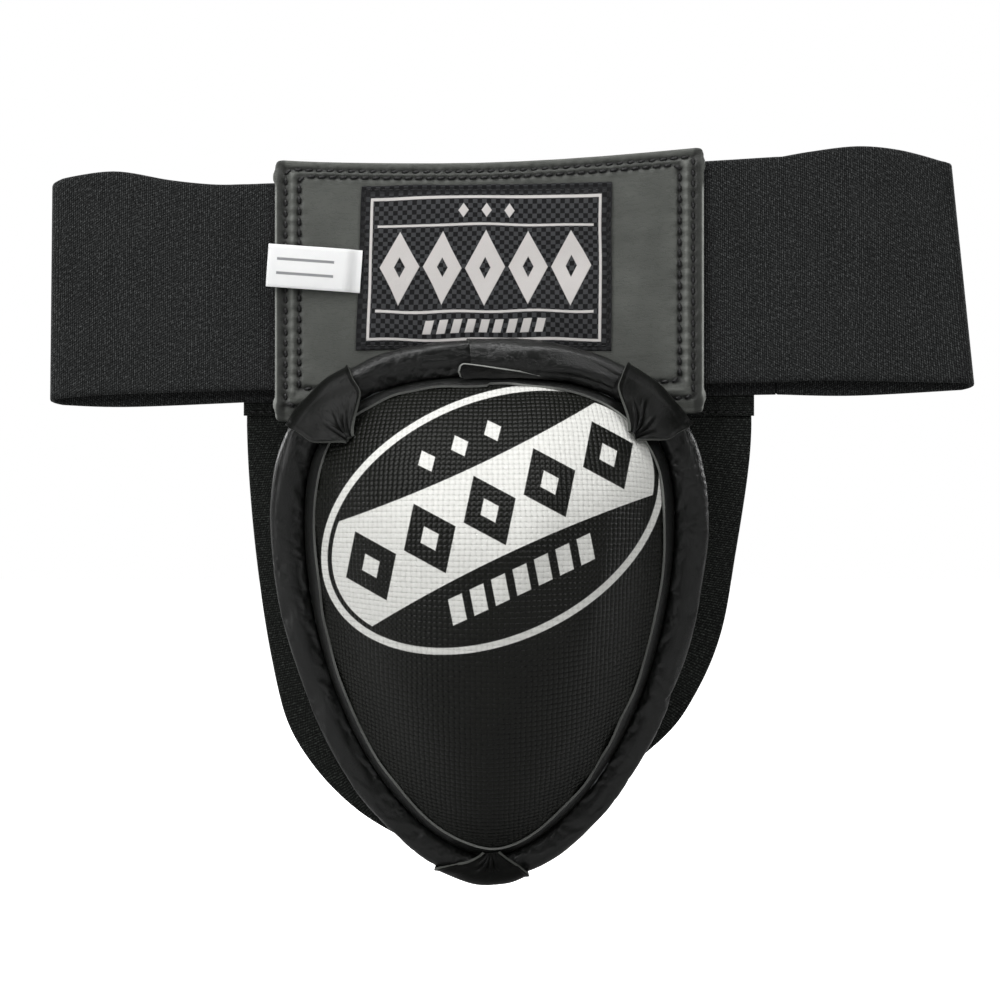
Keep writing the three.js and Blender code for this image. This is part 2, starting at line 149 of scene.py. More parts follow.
def loft(name, loops, along, around, ring=False, caps=(), edge_columns=(), materials=()):
    """A closed body through equal loops of points.

    along and around are the UV lengths of its rows and columns, each with one more entry where it closes.
    caps lists polygons, as column numbers, that close the first row; the last row gets their mirror.
    Faces in edge_columns and the caps take the second material.
    """
    rows, count, _ = loops.shape
    bands = rows if ring else rows - 1
    u0 = np.repeat(along[:bands, None], count, 1)
    u1 = np.repeat(along[1:bands + 1, None], count, 1)
    v0 = np.repeat(around[None, :count], bands, 0)
    v1 = np.repeat(around[None, 1:count + 1], bands, 0)
    corners = np.stack([u0, v0, u1, v0, u1, v1, u0, v1], -1)
    slots = np.zeros((bands, count), int)
    slots[:, list(edge_columns)] = 1
    faces = ring_faces(rows, count, bands)
    uvs = corners.reshape(-1, 2).tolist()
    face_slots = slots.reshape(-1).tolist()
    if not ring:
        for polygon in caps:
            for row, order in ((0, polygon), (rows - 1, polygon[::-1])):
                faces.append([row * count + column for column in order])
                uvs.extend([along[row], around[column]] for column in order)
                face_slots.append(1)
    piece = add_mesh(name, loops, faces, materials, uvs, face_slots if len(materials) > 1 else None)
    piece.data.set_sharp_from_angle(angle=math.radians(50))
    return piece


def grid_normals(points, ring=False):
    if ring:
        along = np.roll(points, -1, 0) - np.roll(points, 1, 0)
    else:
        along = np.gradient(points, axis=0)
    return unit(np.cross(along, np.gradient(points, axis=1)))


def sheet(name, middle, thickness, lift=0.0, ring=False, rounding=3, along=None, materials=(), shade=None):
    """A closed sheet about a grid of points, rows along it and columns across it.

    Its front is the side that rows x columns points to; lift raises the front only. The two long edges are
    rounded in `rounding` steps, or cut square and given the second material when that is 0. shade is painted
    shade that darkens the leather where it is above 0; below 0 it paints the leather pale, for the pale fibres
    of cut edges and for painted highlights.
    """
    rows, columns, _ = middle.shape
    normal = grid_normals(middle, ring)
    half = np.broadcast_to(thickness, (rows, columns))[..., None] / 2
    rise = np.broadcast_to(lift, (rows, columns))[..., None]
    front = middle + normal * (half + rise)
    back = middle - normal * half
    outward_last = unit(middle[:, -1] - middle[:, -2])
    outward_first = unit(middle[:, 0] - middle[:, 1])
    turn = (math.pi * np.arange(1, rounding + 1) / (rounding + 1))[None, :, None]
    up, out = np.cos(turn), np.sin(turn)
    far_edge = middle[:, -1:] + half[:, -1:] * (up * normal[:, -1:] + out * outward_last[:, None])
    near_edge = middle[:, :1] + half[:, :1] * (out * outward_first[:, None] - up * normal[:, :1])
    loops = np.concatenate([front, far_edge, back[:, ::-1], near_edge], axis=1)
    across = lengths_along(middle[rows // 2])
    edge_run = np.arange(1, rounding + 1) * EDGE_STEP
    around = np.concatenate([across, across[-1] + edge_run, across[::-1], -edge_run[::-1], across[:1]])
    if along is None:
        line = middle[:, columns // 2]
        along = lengths_along(np.vstack([line, line[:1]]) if ring else line)
    last_front, first_back = columns - 1, columns + rounding
    mirror = first_back + columns - 1
    caps = [[c, c + 1, mirror - 1 - c, mirror - c] for c in range(columns - 1)]
    if rounding:
        caps.append(list(range(last_front, first_back + 1)))
        caps.append(list(range(mirror, loops.shape[1])) + [0])
        edge_columns = ()
    else:
        edge_columns = (last_front, loops.shape[1] - 1)
    piece = loft(name, loops, np.asarray(along), around, ring, caps, edge_columns, materials)
    if shade is not None:
        ends = [np.repeat(shade[:, [c]], rounding, 1) for c in (-1, 0)]
        paint_shade(piece, np.concatenate([shade, ends[0], shade[:, ::-1], ends[1]], axis=1))
    return piece


def paint_shade(piece, values):
    attribute = piece.data.attributes.new("shade", "FLOAT", "POINT")
    attribute.data.foreach_set("value", np.clip(values, -1, 1).astype(np.float32).ravel())


def beads(name, centres, headings, normals, length, radius, material):
    """Stitches: short arched rods whose ends sink into the cloth, one at each centre."""
    stations, sides = 9, 8
    t = np.linspace(-1, 1, stations)
    swell = radius * np.sqrt(np.clip(1 - t ** 6, 0.02, 1))
    rise = 0.5 * radius * (1 - 2.2 * t ** 2)
    turn = 2 * math.pi * np.arange(sides) / sides
    heading, normal = unit(headings), unit(normals)
    side = unit(np.cross(heading, normal))
    spine = (centres[:, None] + heading[:, None] * (t * length / 2)[None, :, None]
             + normal[:, None] * rise[None, :, None])
    ring = (side[:, None, None] * np.cos(turn)[None, None, :, None]
            + normal[:, None, None] * np.sin(turn)[None, None, :, None])
    points = spine[:, :, None] + ring * swell[None, :, None, None]
    faces, uvs = [], []
    du, dv = length / (stations - 1), EDGE_STEP
    for base in range(0, len(centres) * stations * sides, stations * sides):
        for i in range(stations - 1):
            for j in range(sides):
                a, b = base + i * sides, base + (i + 1) * sides
                after = (j + 1) % sides
                faces.append([a + j, a + after, b + after, b + j])
                u, v = t[i] * length / 2, j * dv
                uvs += [[u, v], [u, v + dv], [u + du, v + dv], [u + du, v]]
        faces.append(list(range(base + sides - 1, base - 1, -1)))
        faces.append(list(range(base + (stations - 1) * sides, base + stations * sides)))
        uvs += [[0, 0]] * (2 * sides)
    return add_mesh(name, points, faces, [material], uvs)


def spaced(path, pitch, ring=False):
    """Points every `pitch` along a line of points, with the line's direction at each."""
    if ring:
        path = np.vstack([path, path[:1]])
    run = lengths_along(path)
    count = max(2, int(run[-1] / pitch))
    at = (np.arange(count) + 0.5) * run[-1] / count
    step = 0.3 * MM
    behind, point, ahead = (np.stack([np.interp(at + shift, run, path[:, k]) for k in range(3)], -1)
                            for shift in (-step, 0, step))
    return point, unit(ahead - behind)


def face_stitches(name, outline, face_y, pitch, length, radius, lean=0.0):
    """Stitches along a closed line of X and Z points, on the front face at face_y(x, z)."""
    path = np.insert(outline, 1, 0.0, axis=1)
    centre, heading = spaced(path, pitch, ring=True)
    centre[:, 1] = face_y(centre[:, 0], centre[:, 2])
    heading = heading + lean * np.cross(heading, [0, 1, 0])
    normal = np.tile([0.0, -1.0, 0.0], (len(centre), 1))
    return beads(name, centre, heading, normal, length, radius, looks["thread"])


# ---- Materials ----

def srgb(*channels):
    """A colour given as 0 to 255 screen values, as linear RGBA."""
    values = [c / 255 for c in channels]
    return tuple(v / 12.92 if v <= 0.04045 else ((v + 0.055) / 1.055) ** 2.4 for v in values) + (1.0,)


class Value:
    """A number inside a node tree, so that a mask reads as a sum."""

    def __init__(self, net, socket):
        self.net, self.socket = net, socket

    def __add__(self, other):
        return self.net.math("ADD", self, other)

    def __sub__(self, other):
        return self.net.math("SUBTRACT", self, other)

    def __rsub__(self, other):
        return self.net.math("SUBTRACT", other, self)

    def __mul__(self, other):
        return self.net.math("MULTIPLY", self, other)

    def __truediv__(self, other):
        return self.net.math("DIVIDE", self, other)

    def __abs__(self):
        return self.net.math("ABSOLUTE", self)

    __radd__ = __add__
    __rmul__ = __mul__


class Net:
    """Builds one material's node tree around a Principled shader."""

    def __init__(self, name):
        self.material = bpy.data.materials.new(name)
        self.material.use_nodes = True
        self.tree = self.material.node_tree
        self.shader = self.tree.nodes["Principled BSDF"]

    def plug(self, target, value):
        if isinstance(value, Value):
            self.tree.links.new(value.socket, target)
        else:
            target.default_value = value

    def node(self, kind, inputs=None, output=0, **settings):
        node = self.tree.nodes.new(kind)
        for key, setting in settings.items():
            setattr(node, key, setting)
        for key, value in (inputs or {}).items():
            self.plug(node.inputs[key], value)
        return Value(self, node.outputs[output])

    def math(self, operation, *values):
        return self.node("ShaderNodeMath", dict(enumerate(values)), operation=operation)

    def sine(self, value):
        return self.math("SINE", value)

    def least(self, *values):
        return functools.reduce(lambda a, b: self.math("MINIMUM", a, b), values)

    def most(self, *values):
        return functools.reduce(lambda a, b: self.math("MAXIMUM", a, b), values)

    def repeat(self, value, period):
        """The value folded into a centred span of one period."""
        return self.math("WRAP", value, period / 2, -period / 2)

    def step(self, value, low, high):
        """A smooth step from 0 at low to 1 at high."""
        return self.node("ShaderNodeMapRange", {"Value": value, "From Min": low, "From Max": high},
                         interpolation_type="SMOOTHSTEP", clamp=True)

    def inside(self, distance, soft=0.12):
        """1 where a signed distance in mm is negative."""
        return 1 - self.step(distance, -soft, soft)

    def cloth(self, layer="cloth"):
        """The UV map as two lengths in mm."""
        node = self.node("ShaderNodeUVMap", uv_map=layer)
        split = self.tree.nodes.new("ShaderNodeSeparateXYZ")
        self.tree.links.new(node.socket, split.inputs[0])
        return Value(self, split.outputs[0]) * 1000, Value(self, split.outputs[1]) * 1000

    def shade(self):
        """Painted shade and light on the mesh: above 0 painted shade, below 0 pale, for cut-edge fibres and
        painted highlights; 0 where nothing is painted.
        """
        return self.node("ShaderNodeAttribute", output=2, attribute_name="shade")

    def vector(self, x, y):
        return self.node("ShaderNodeCombineXYZ", {0: x, 1: y})

    def noise(self, where, scale, detail=4.0, roughness=0.55):
        """Noise between 0 and 1; scale is in bumps per mm."""
        return self.node("ShaderNodeTexNoise", {"Vector": where, "Scale": scale, "Detail": detail,
                                                "Roughness": roughness})

    def cells(self, where, scale):
        return self.node("ShaderNodeTexVoronoi", {"Vector": where, "Scale": scale})

    def mix(self, factor, a, b):
        node = self.tree.nodes.new("ShaderNodeMix")
        node.data_type = "RGBA"
        self.plug(node.inputs[0], factor)
        self.plug(node.inputs[6], a)
        self.plug(node.inputs[7], b)
        return Value(self, node.outputs[2])

    def bump(self, height, distance):
        """Bump whose height 1 stands `distance` mm proud."""
        return self.node("ShaderNodeBump", {"Height": height, "Distance": distance * MM, "Strength": 1.0})

    def finish(self, color, roughness, normal=None, **others):
        self.plug(self.shader.inputs["Base Color"], color)
        self.plug(self.shader.inputs["Roughness"], roughness)
        if normal is not None:
            self.plug(self.shader.inputs["Normal"], normal)
        for key, value in others.items():
            self.plug(self.shader.inputs[key.replace("_", " ")], value)
        return self.material


def scaled(color, factor, lift=0.0):
    return tuple(min(1.0, c * factor + lift) for c in color[:3]) + (1.0,)


def leather(name, color, roughness=0.42, grain=1.0, wear=0.25, shine=0.5, mottle=1.0):
    """Glove leather: fine pebbled grain, soft mottling, faint creases in painted shade and a little wear."""
    net = Net(name)
    u, v = net.cloth()
    where = net.vector(u, v)
    pebble = net.cells(where, 1.7 * grain)
    pores = net.noise(where, 3.2 * grain, 3.0)
    cloud = net.noise(where, 0.055, 3.0)
    crease = net.noise(net.vector(u * 0.25, v), 0.55, 5.0, 0.62)
    fold = net.step(abs(crease - 0.5), 0.0, 0.035)
    base = net.mix(cloud, scaled(color, 1 - 0.3 * mottle), scaled(color, 1 + 0.35 * mottle, 0.003 * mottle))
    # The crease lines are painted darker: painted shade in the creases.
    base = net.mix((1 - fold) * 0.35, base, scaled(color, 0.45))
    rubbed = net.step(net.noise(where, 0.16, 6.0, 0.7), 0.56, 0.74)
    base = net.mix(rubbed * wear, base, scaled(color, 1.9, 0.008))
    # Painted shade from the mesh's shade attribute darkens the leather; below 0 it turns pale, for cut-edge
    # fibres and painted highlights.
    shade = net.shade()
    base = net.mix(net.most(shade, 0.0) * 0.85, base, scaled(color, 0.12))
    base = net.mix(net.most(0 - shade, 0.0), base, srgb(150, 152, 148))
    rough = pores * 0.22 + cloud * (0.12 * mottle) + (roughness - 0.11 - 0.06 * mottle)
    height = pebble * 0.45 + pores * 0.3 + fold * 0.5
    return net.finish(base, rough, net.bump(height, 0.06), Specular_IOR_Level=shine)


def raw_edge(name, color):
    """The cut edge of leather: pale fibres."""
    net = Net(name)
    u, v = net.cloth()
    fibre = net.noise(net.vector(u, v * 3), 2.4, 6.0, 0.7)
    base = net.mix(fibre, scaled(color, 0.55), color)
    return net.finish(base, 0.85, net.bump(fibre, 0.12))


def webbing(name, color, rib=0.78):
    """Ribbed elastic: fine ribs across its length, knitted loops along each rib, flecks of pale yarn."""
    net = Net(name)
    u, v = net.cloth()
    where = net.vector(u, v)
    jitter = net.noise(where, 0.35, 2.0) * 0.6
    ribs = net.sine((u + jitter) * (2 * math.pi / rib)) * 0.5 + 0.5
    loops = net.sine((v + jitter + u * 0.5) * (2 * math.pi / 0.95)) * 0.5 + 0.5
    fleck = net.noise(net.vector(u, v * 0.7), 1.25, 3.0, 0.75)
    streak = net.noise(net.vector(u * 0.5, v * 0.03), 0.6, 4.0, 0.6)
    cloud = net.noise(where, 0.03, 3.0)
    height = ribs * 0.6 + loops * 0.4 + fleck * 0.6
    tone = net.step(ribs * 0.25 + loops * 0.2 + streak * 0.35 + cloud * 0.35, 0.3, 1.0)
    base = net.mix(tone, scaled(color, 0.55), scaled(color, 1.5))
    yarn = fleck + (ribs - 0.5) * 0.16 + (loops - 0.5) * 0.06
    base = net.mix(net.step(yarn, 0.52, 0.72), base, scaled(color, 4.2, 0.008))
    base = net.mix(net.step(yarn, 0.46, 0.3), base, scaled(color, 0.2))
    return net.finish(base, 0.85, net.bump(height, 0.2), Sheen_Weight=0.05, Sheen_Roughness=0.4,
                      Specular_IOR_Level=0.12)


def thread(name, color):
    """Waxed sewing thread: two plies twisted together."""
    net = Net(name)
    u, v = net.cloth()
    twist = net.sine(u * 5.2 + v * 4.0) * 0.5 + 0.5
    base = net.mix(twist, scaled(color, 0.4), color)
    return net.finish(base, 0.55, net.bump(twist, 0.08))


def tape(name):
    """Smooth white woven tape with two plain grey lines."""
    net = Net(name)
    u, v = net.cloth()
    weave = net.sine(u * 9.0) * net.sine(v * 9.0) * 0.5 + 0.5
    fleck = net.noise(net.vector(u, v), 0.2, 3.0)
    base = net.mix(fleck, srgb(244, 245, 245), srgb(255, 255, 254))
    base = net.mix(weave * 0.25, base, srgb(226, 228, 230))
    lines = abs(abs(v - 7.7) - 2.6) - 0.5
    printed = net.inside(net.most(lines, abs(u - 49.0) - 10.5))
    base = net.mix(printed * 0.9, base, srgb(128, 130, 132))
    return net.finish(base, 0.75, net.bump(weave, 0.05), Specular_IOR_Level=0.3)


# ---- Printed and woven figures: a generic pattern of lozenges and bars ----

def lozenge_row(net, p, q, pitch, count, half_width, half_height):
    """Signed distance to a row of lozenges centred on p = 0, q = 0."""
    local = abs(net.repeat(p, pitch)) if count % 2 else abs(net.repeat(p - pitch / 2, pitch))
    slope = 1 / math.hypot(1 / half_width, 1 / half_height)
    lozenge = (local / half_width + abs(q) / half_height - 1) * slope
    return net.most(lozenge, abs(p) - pitch * count / 2)


def bar_row(net, p, q, pitch, count, half_width, half_height):
    """Signed distance to a row of leaning bars."""
    lean = p - q * 0.25
    local = abs(net.repeat(lean, pitch)) if count % 2 else abs(net.repeat(lean - pitch / 2, pitch))
    bar = net.most(local - half_width, abs(q) - half_height)
    return net.most(bar, abs(lean) - pitch * count / 2)


def cover_leather(name):
    """Embossed basket weave leather, with the white print on it; painted light on its raised strands and
    painted shade in its holes.
    """
    net = Net(name)
    u, v = net.cloth()
    where = net.vector(u, v)
    strand = 2.0
    warp = net.node("ShaderNodeTexNoise", {"Vector": where, "Scale": 0.12, "Detail": 2.0}) * 1.2
    u = u + warp
    column = net.math("FLOOR", u / strand)
    row = net.math("FLOOR", v / strand)
    over = net.math("MODULO", abs(column + row), 2.0)
    across_u = abs(net.repeat(u - strand / 2, strand)) / (strand / 2)
    across_v = abs(net.repeat(v - strand / 2, strand)) / (strand / 2)
    long_u = 1 - across_u * across_u * 0.55
    long_v = 1 - across_v * across_v * 0.55
    round_u = net.math("SQRT", net.most(1 - across_u * across_u * 0.95, 0.0))
    round_v = net.math("SQRT", net.most(1 - across_v * across_v * 0.95, 0.0))
    weave = round_u * long_v * over + round_v * long_u * (1 - over)
    holes = net.step(across_u + across_v, 1.3, 1.75)
    grain = net.noise(where, 2.6, 4.0, 0.65)
    cloud = net.noise(where, 0.045, 3.0)
    dark = net.mix(cloud, srgb(10, 11, 9), srgb(21, 22, 18))
    # Painted highlight on the raised strands, and painted shade in the holes between them.
    dark = net.mix(weave * 0.3, dark, srgb(30, 31, 27))
    dark = net.mix(holes * 0.9, dark, srgb(3, 3, 3))
    x, z = net.cloth("print")
    tilt = math.radians(PRINT_TILT)
    p = x * math.cos(tilt) + z * math.sin(tilt)
    q = z * math.cos(tilt) - x * math.sin(tilt)
    printed = net.inside(print_figure(net, p, q), 0.16)
    chipped = net.step(net.noise(where, 1.3, 6.0, 0.75), 0.3, 0.36)
    ink = net.mix(net.noise(where, 0.5, 5.0), srgb(214, 214, 209), srgb(240, 240, 236))
    # The ink is painted darker between the raised strands: painted shade.
    ink = net.mix((1 - weave) * 0.22, ink, srgb(186, 187, 182))
    base = net.mix(printed * chipped, dark, ink)
    rough = grain * 0.16 + 0.24 + printed * 0.2
    normal = net.bump(weave * (1 - printed * 0.6) - holes * 0.35 + grain * 0.1, 0.4)
    return net.finish(base, rough, normal, Specular_IOR_Level=0.2)


def ellipse_distance(net, p, q, half_width, half_height):
    """Near an ellipse, the signed distance to it."""
    near = net.math("SQRT", (p / half_width) * (p / half_width) + (q / half_height) * (q / half_height))
    steep = net.math("SQRT", (p / half_width ** 2) * (p / half_width ** 2)
                     + (q / half_height ** 2) * (q / half_height ** 2))
    return near * (near - 1) / net.most(steep, 1e-4)


def print_figure(net, p, q):
    """An oval ring crossed by a broad white band of black lozenges, with small marks above and below."""
    oval = ellipse_distance(net, p, q, PRINT_HALF_WIDTH, PRINT_HALF_HEIGHT)
    ring = abs(oval + 1.25) - 1.25
    swell = q - 3.0
    band = net.most(abs(swell) - (16.5 + p * p * 0.0011), oval + 4.2)
    lozenges = lozenge_row(net, p, swell, 23.5, 5, 10.2, 13.6)
    hollow = lozenge_row(net, p, swell, 23.5, 5, 3.6, 4.8)
    band = net.most(band, 0 - net.most(lozenges, 0 - hollow))
    above = lozenge_row(net, p, q - 28.5, 13.0, 3, 3.4, 4.2)
    below = bar_row(net, p, q + 24.0, 8.4, 7, 2.7, 4.6)
    return net.least(ring, band, above, below)


def label_weave(name, half_width, half_height):
    """Damask label: a checkered ground, a white line frame and a white figure, all in satin thread."""
    net = Net(name)
    u, v = net.cloth()
    p, q = u - half_width, v - half_height
    square = 1.7
    check = net.math("MODULO", abs(net.math("FLOOR", p / square) + net.math("FLOOR", q / square)), 2.0)
    weft = net.sine(q * 19.0) * 0.5 + 0.5
    warp = net.sine(p * 15.0) * 0.5 + 0.5
    fuzz = net.noise(net.vector(u, v), 4.0, 4.0, 0.7)
    ground = net.mix(check, srgb(8, 8, 10), srgb(72, 73, 75))
    ground = net.mix(fuzz * 0.5, ground, srgb(30, 30, 32))
    border = net.most(abs(p) - (half_width - 4.2), abs(q) - (half_height - 3.8))
    frame_line = abs(border) - 0.5
    field = 1 - net.inside(border)
    plain = net.inside(abs(net.most(abs(p) - half_width, abs(q) - half_height) + 1.0) - 1.0)
    big = net.least(
        net.most(lozenge_row(net, p, q, 15.6, 5, 7.2, 14.0),
                 0 - lozenge_row(net, p, q, 15.6, 5, 2.0, 4.0)),
        abs(abs(q) - 16.2) - 0.45,
    )
    big = net.most(big, abs(p) - 39.5)
    small = net.least(
        lozenge_row(net, p, q - 21.3, 8.5, 3, 1.9, 2.6),
        bar_row(net, p, q + 21.4, 5.0, 9, 1.5, 2.4),
    )
    figure = net.inside(net.least(frame_line, big, small), 0.14)
    white = net.mix(weft, srgb(196, 192, 190), srgb(238, 234, 231))
    white = net.mix(fuzz * 0.25, white, srgb(168, 163, 161))
    base = net.mix(plain * 0.6, ground, srgb(16, 16, 17))
    base = net.mix(field * 0.35, base, srgb(26, 26, 28))
    base = net.mix(figure, base, white)
    height = weft * 0.35 + warp * 0.2 + check * 0.25 + figure * 0.9 + fuzz * 0.2
    return net.finish(base, 0.7 - figure * 0.12, net.bump(height, 0.1), Specular_IOR_Level=0.2)


def steel(name):
    """Pressed sheet steel with fine rubbed lines."""
    net = Net(name)
    where = net.node("ShaderNodeTexCoord", output=3)
    lines = net.noise(where, 900.0, 4.0, 0.7)
    base = net.mix(lines, srgb(150, 153, 156), srgb(196, 199, 202))
    return net.finish(base, lines * 0.2 + 0.25, net.bump(lines, 0.02), Metallic=1.0)


PRINT_TILT = 25.0             # degrees; the print's oval in mm
PRINT_HALF_WIDTH = 66.0
PRINT_HALF_HEIGHT = 44.0
PRINT_RIGHT = 1.5 * MM        # the oval's centre, from the middle of the cover and from its top
PRINT_DOWN = 50.5 * MM

label_low, label_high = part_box("woven_label")
looks = {
    "panel": leather("panel_leather", srgb(85, 87, 83), 0.46, 1.2, 0.2, 0.3),
    "panel_back": leather("panel_back_leather", srgb(60, 61, 60), 0.6, 0.9, 0.3, 0.3),
    "roll": leather("roll_leather", srgb(20, 21, 20), 0.31, 1.0, 0.08, 0.42, 0.4),
    "loop": leather("loop_leather", srgb(12, 13, 11), 0.36, 1.1, 0.25, 0.13),
    "lining": leather("lining_leather", srgb(58, 58, 57), 0.5, 0.8, 0.35, 0.4),
    "raw": raw_edge("leather_raw_edge", srgb(150, 152, 148)),
    "raw_dark": raw_edge("leather_dark_edge", srgb(84, 86, 82)),
    "band": webbing("band_webbing", srgb(36, 37, 37)),
    "strap": webbing("strap_webbing", srgb(28, 30, 28), 0.85),
    "thread": thread("black_thread", srgb(20, 20, 21)),
    "tape": tape("white_tape"),
    "cover": cover_leather("cover_leather"),
    "label": label_weave("label_damask", (label_high.x - label_low.x) / 2 / MM,
                         (label_high.z - label_low.z) / 2 / MM),
    "steel": steel("pressed_steel"),
}


# ---- Shapes read from the frame ----

def edge_heights(*nodes):
    """Heights of the top and bottom edges of flat CAD nodes, as functions of X."""
    tops, bottoms = [], []
    for node in nodes:
        points = np.array([vertex.co for vertex in frame["nodes"][node].data.vertices])
        middle = (points[:, 2].min() + points[:, 2].max()) / 2
        tops.append(points[points[:, 2] > middle])
        bottoms.append(points[points[:, 2] <= middle])

    def profile(parts):
        points = np.vstack(parts)
        order = np.argsort(points[:, 0])
        return lambda x: np.interp(x, points[order, 0], points[order, 2])

    return profile(tops), profile(bottoms)


def joint(name):
    return next(j for j in frame["joints"] if j["name"] == name)


# ---- Waistband ----

front_low, front_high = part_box("waistband_front")
back_low, back_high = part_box("waistband_back")
front_y = (front_low.y + front_high.y) / 2
back_y = (back_low.y + back_high.y) / 2
left_bend = joint("waist_open")["pos_m"][0]
right_bend = joint("right_wing_bend")["pos_m"][0]
front_top, front_bottom = edge_heights("waistband_left_wing", "waistband_front", "waistband_right_wing")
back_top, back_bottom = edge_heights("waistband_left_side", "waistband_back", "waistband_right_side")

BAND_THICKNESS = 1.8 * MM
BEND_REACH = 12 * MM          # a length each side of a hinge line, handed to add_band_piece
LEFT_SPLIT = -126 * MM        # where the folded end pieces begin, front and back
RIGHT_SPLIT = 143 * MM
FOLD_PROUD = 1.4 * MM         # the fold stands this far outside the CAD's flat ends
FOLD_LEAN = 0.8 * MM          # how far the left fold's crest leans in towards its top
SEAM_GAP = 0.02 * MM          # between the two pieces that meet at the right bend
ACROSS = 44                   # points across the band
fold_radius = (back_y - front_y) / 2


def band_wave(x, z, seed):
    """Slight unevenness of webbing that lies flat; none at the right bend, where two pieces meet."""
    wave = 0.28 * ripples(seed, 60 * MM, x, z * 0.4) + 0.1 * ripples(seed + 1, 14 * MM, x, z)
    return wave * MM * smooth(np.abs(x - right_bend), 1.5 * MM, 14 * MM)


def band_run(x_values, y, top, bottom, seed):
    """Grid of a flat run of band: rows along X, columns from the bottom edge to the top."""
    w = np.linspace(0, 1, ACROSS)[None, :]
    x = np.repeat(x_values[:, None], ACROSS, 1)
    z = bottom(x_values)[:, None] * (1 - w) + top(x_values)[:, None] * w
    return np.stack([x, y + band_wave(x, z, seed), z], -1)


def band_fold(split, fold_bottom, fold_top, outward):
    """Grid of the folded end of the band: front run, half turn, back run.

    fold_bottom and fold_top are the X of the fold's crest; outward is -1 at the left end and 1 at the right.
    """
    w = np.linspace(0, 1, ACROSS)[None, :]
    crest = fold_bottom * (1 - w) + fold_top * w
    centre = crest - outward * (fold_radius + BAND_THICKNESS / 2)
    t = np.linspace(0, 1, 50)[:, None]
    run_x = split + (centre - split) * t
    front_z = front_bottom(run_x) * (1 - w) + front_top(run_x) * w
    back_z = back_bottom(run_x) * (1 - w) + back_top(run_x) * w
    turn = np.linspace(0, math.pi, 15)[1:-1, None]
    arc_x = centre + outward * fold_radius * np.sin(turn)
    arc_y = (front_y + back_y) / 2 - fold_radius * np.cos(turn) + 0 * w
    share = turn / math.pi
    arc_z = front_z[-1:] * (1 - share) + back_z[-1:] * share
    front = np.stack([run_x, front_y + band_wave(run_x, front_z, 3) + 0 * w, front_z], -1)
    arc = np.stack([arc_x, arc_y, arc_z], -1)
    back = np.stack([run_x[::-1], back_y + band_wave(run_x, back_z, 5)[::-1], back_z[::-1]], -1)
    return np.concatenate([front, arc, back])


def rounded_rows(first, last, count):
    """X values along a run, closer together over the half-round end, whose axis is at `last`."""
    turn = np.array([0.0, 0.4, 0.8, 1.1, 1.35, 1.52])
    towards = math.copysign(BAND_THICKNESS / 2, last - first)
    return np.append(np.linspace(first, last, count)[:-1], last + towards * np.sin(turn))


def add_band_piece(name, grid, start, blend_from, blend_to, replaces, round_end=False):
    middle_line = grid[:, ACROSS // 2]
    along = start + lengths_along(middle_line)
    thickness = np.full((len(grid), 1), BAND_THICKNESS)
    if round_end:
        to_end = np.minimum(along[-1] - along, BAND_THICKNESS / 2) / (BAND_THICKNESS / 2)
        thickness[:, 0] *= np.sqrt(np.maximum(1 - (1 - to_end) ** 2, 0.01))
    piece = sheet(name, grid, thickness, along=along, materials=[looks["band"]])
    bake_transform(piece)
    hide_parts(*replaces)
    return along[-1]


def add_waistband():
    half = BAND_THICKNESS / 2
    left_front = band_run(np.linspace(0, LEFT_SPLIT, 110), front_y, front_top, front_bottom, 3)
    left_end = add_band_piece(
        "band_front_left", left_front, 0.0,
        (left_bend + BEND_REACH, front_y, 0), (left_bend - BEND_REACH, front_y, 0), ["waistband_front"])
    right_front = band_run(np.linspace(0, RIGHT_SPLIT, 120), front_y, front_top, front_bottom, 3)
    right_end = add_band_piece(
        "band_front_right", right_front, 0.0,
        (right_bend - BEND_REACH, front_y, 0), (right_bend + BEND_REACH, front_y, 0), [])
    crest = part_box("waistband_left_wing")[0].x - FOLD_PROUD
    left_end = add_band_piece(
        "band_left_fold", band_fold(LEFT_SPLIT, crest, crest + FOLD_LEAN, -1), left_end,
        (left_bend, front_y + half, 0), (left_bend, back_y - half, 0),
        ["waistband_left_wing", "waistband_left_side"])
    wing = np.array([v.co for v in frame["nodes"]["waistband_right_wing"].data.vertices])
    upper = wing[wing[:, 2] > wing[:, 2].mean()]
    fold = band_fold(RIGHT_SPLIT, wing[:, 0].max() + FOLD_PROUD, upper[:, 0].max() + FOLD_PROUD + MM, 1)
    beyond = band_run(rounded_rows(RIGHT_SPLIT, right_bend, 40)[1:], back_y, back_top, back_bottom, 5)
    add_band_piece(
        "band_right_fold", np.concatenate([fold, beyond]), right_end,
        (right_bend, front_y + half, 0), (right_bend, back_y - half, 0),
        ["waistband_right_wing", "waistband_right_side"], round_end=True)
    back_end = right_bend - half - SEAM_GAP
    back_run = band_run(np.linspace(LEFT_SPLIT, back_end, 220), back_y, back_top, back_bottom, 5)
    add_band_piece(
        "band_back", back_run, left_end,
        (left_bend - BEND_REACH, back_y, 0), (left_bend + BEND_REACH, back_y, 0), ["waistband_back"])


# ---- Waist panel ----

panel_low, panel_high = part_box("waist_panel_front")
panel_back_low, panel_back_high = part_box("waist_panel_back")
panel_top, panel_bottom = edge_heights("waist_panel_front")
# The outer and inner ring of stitches: how far each is in from the panel's sides, top and bottom.
ROWS = ((3.9 * MM, 2.4 * MM, 4.9 * MM), (8.9 * MM, 4.8 * MM, 11.0 * MM))
CORNER = 2 * MM
STITCH_PITCH = 3.96 * MM
PANEL_THICKNESS = 1.8 * MM
FACE_RISE = 0.75 * MM         # panel_relief of the plain face
BETWEEN_ROWS = 2.4 * MM       # from a row to the middle of the ridge beside it


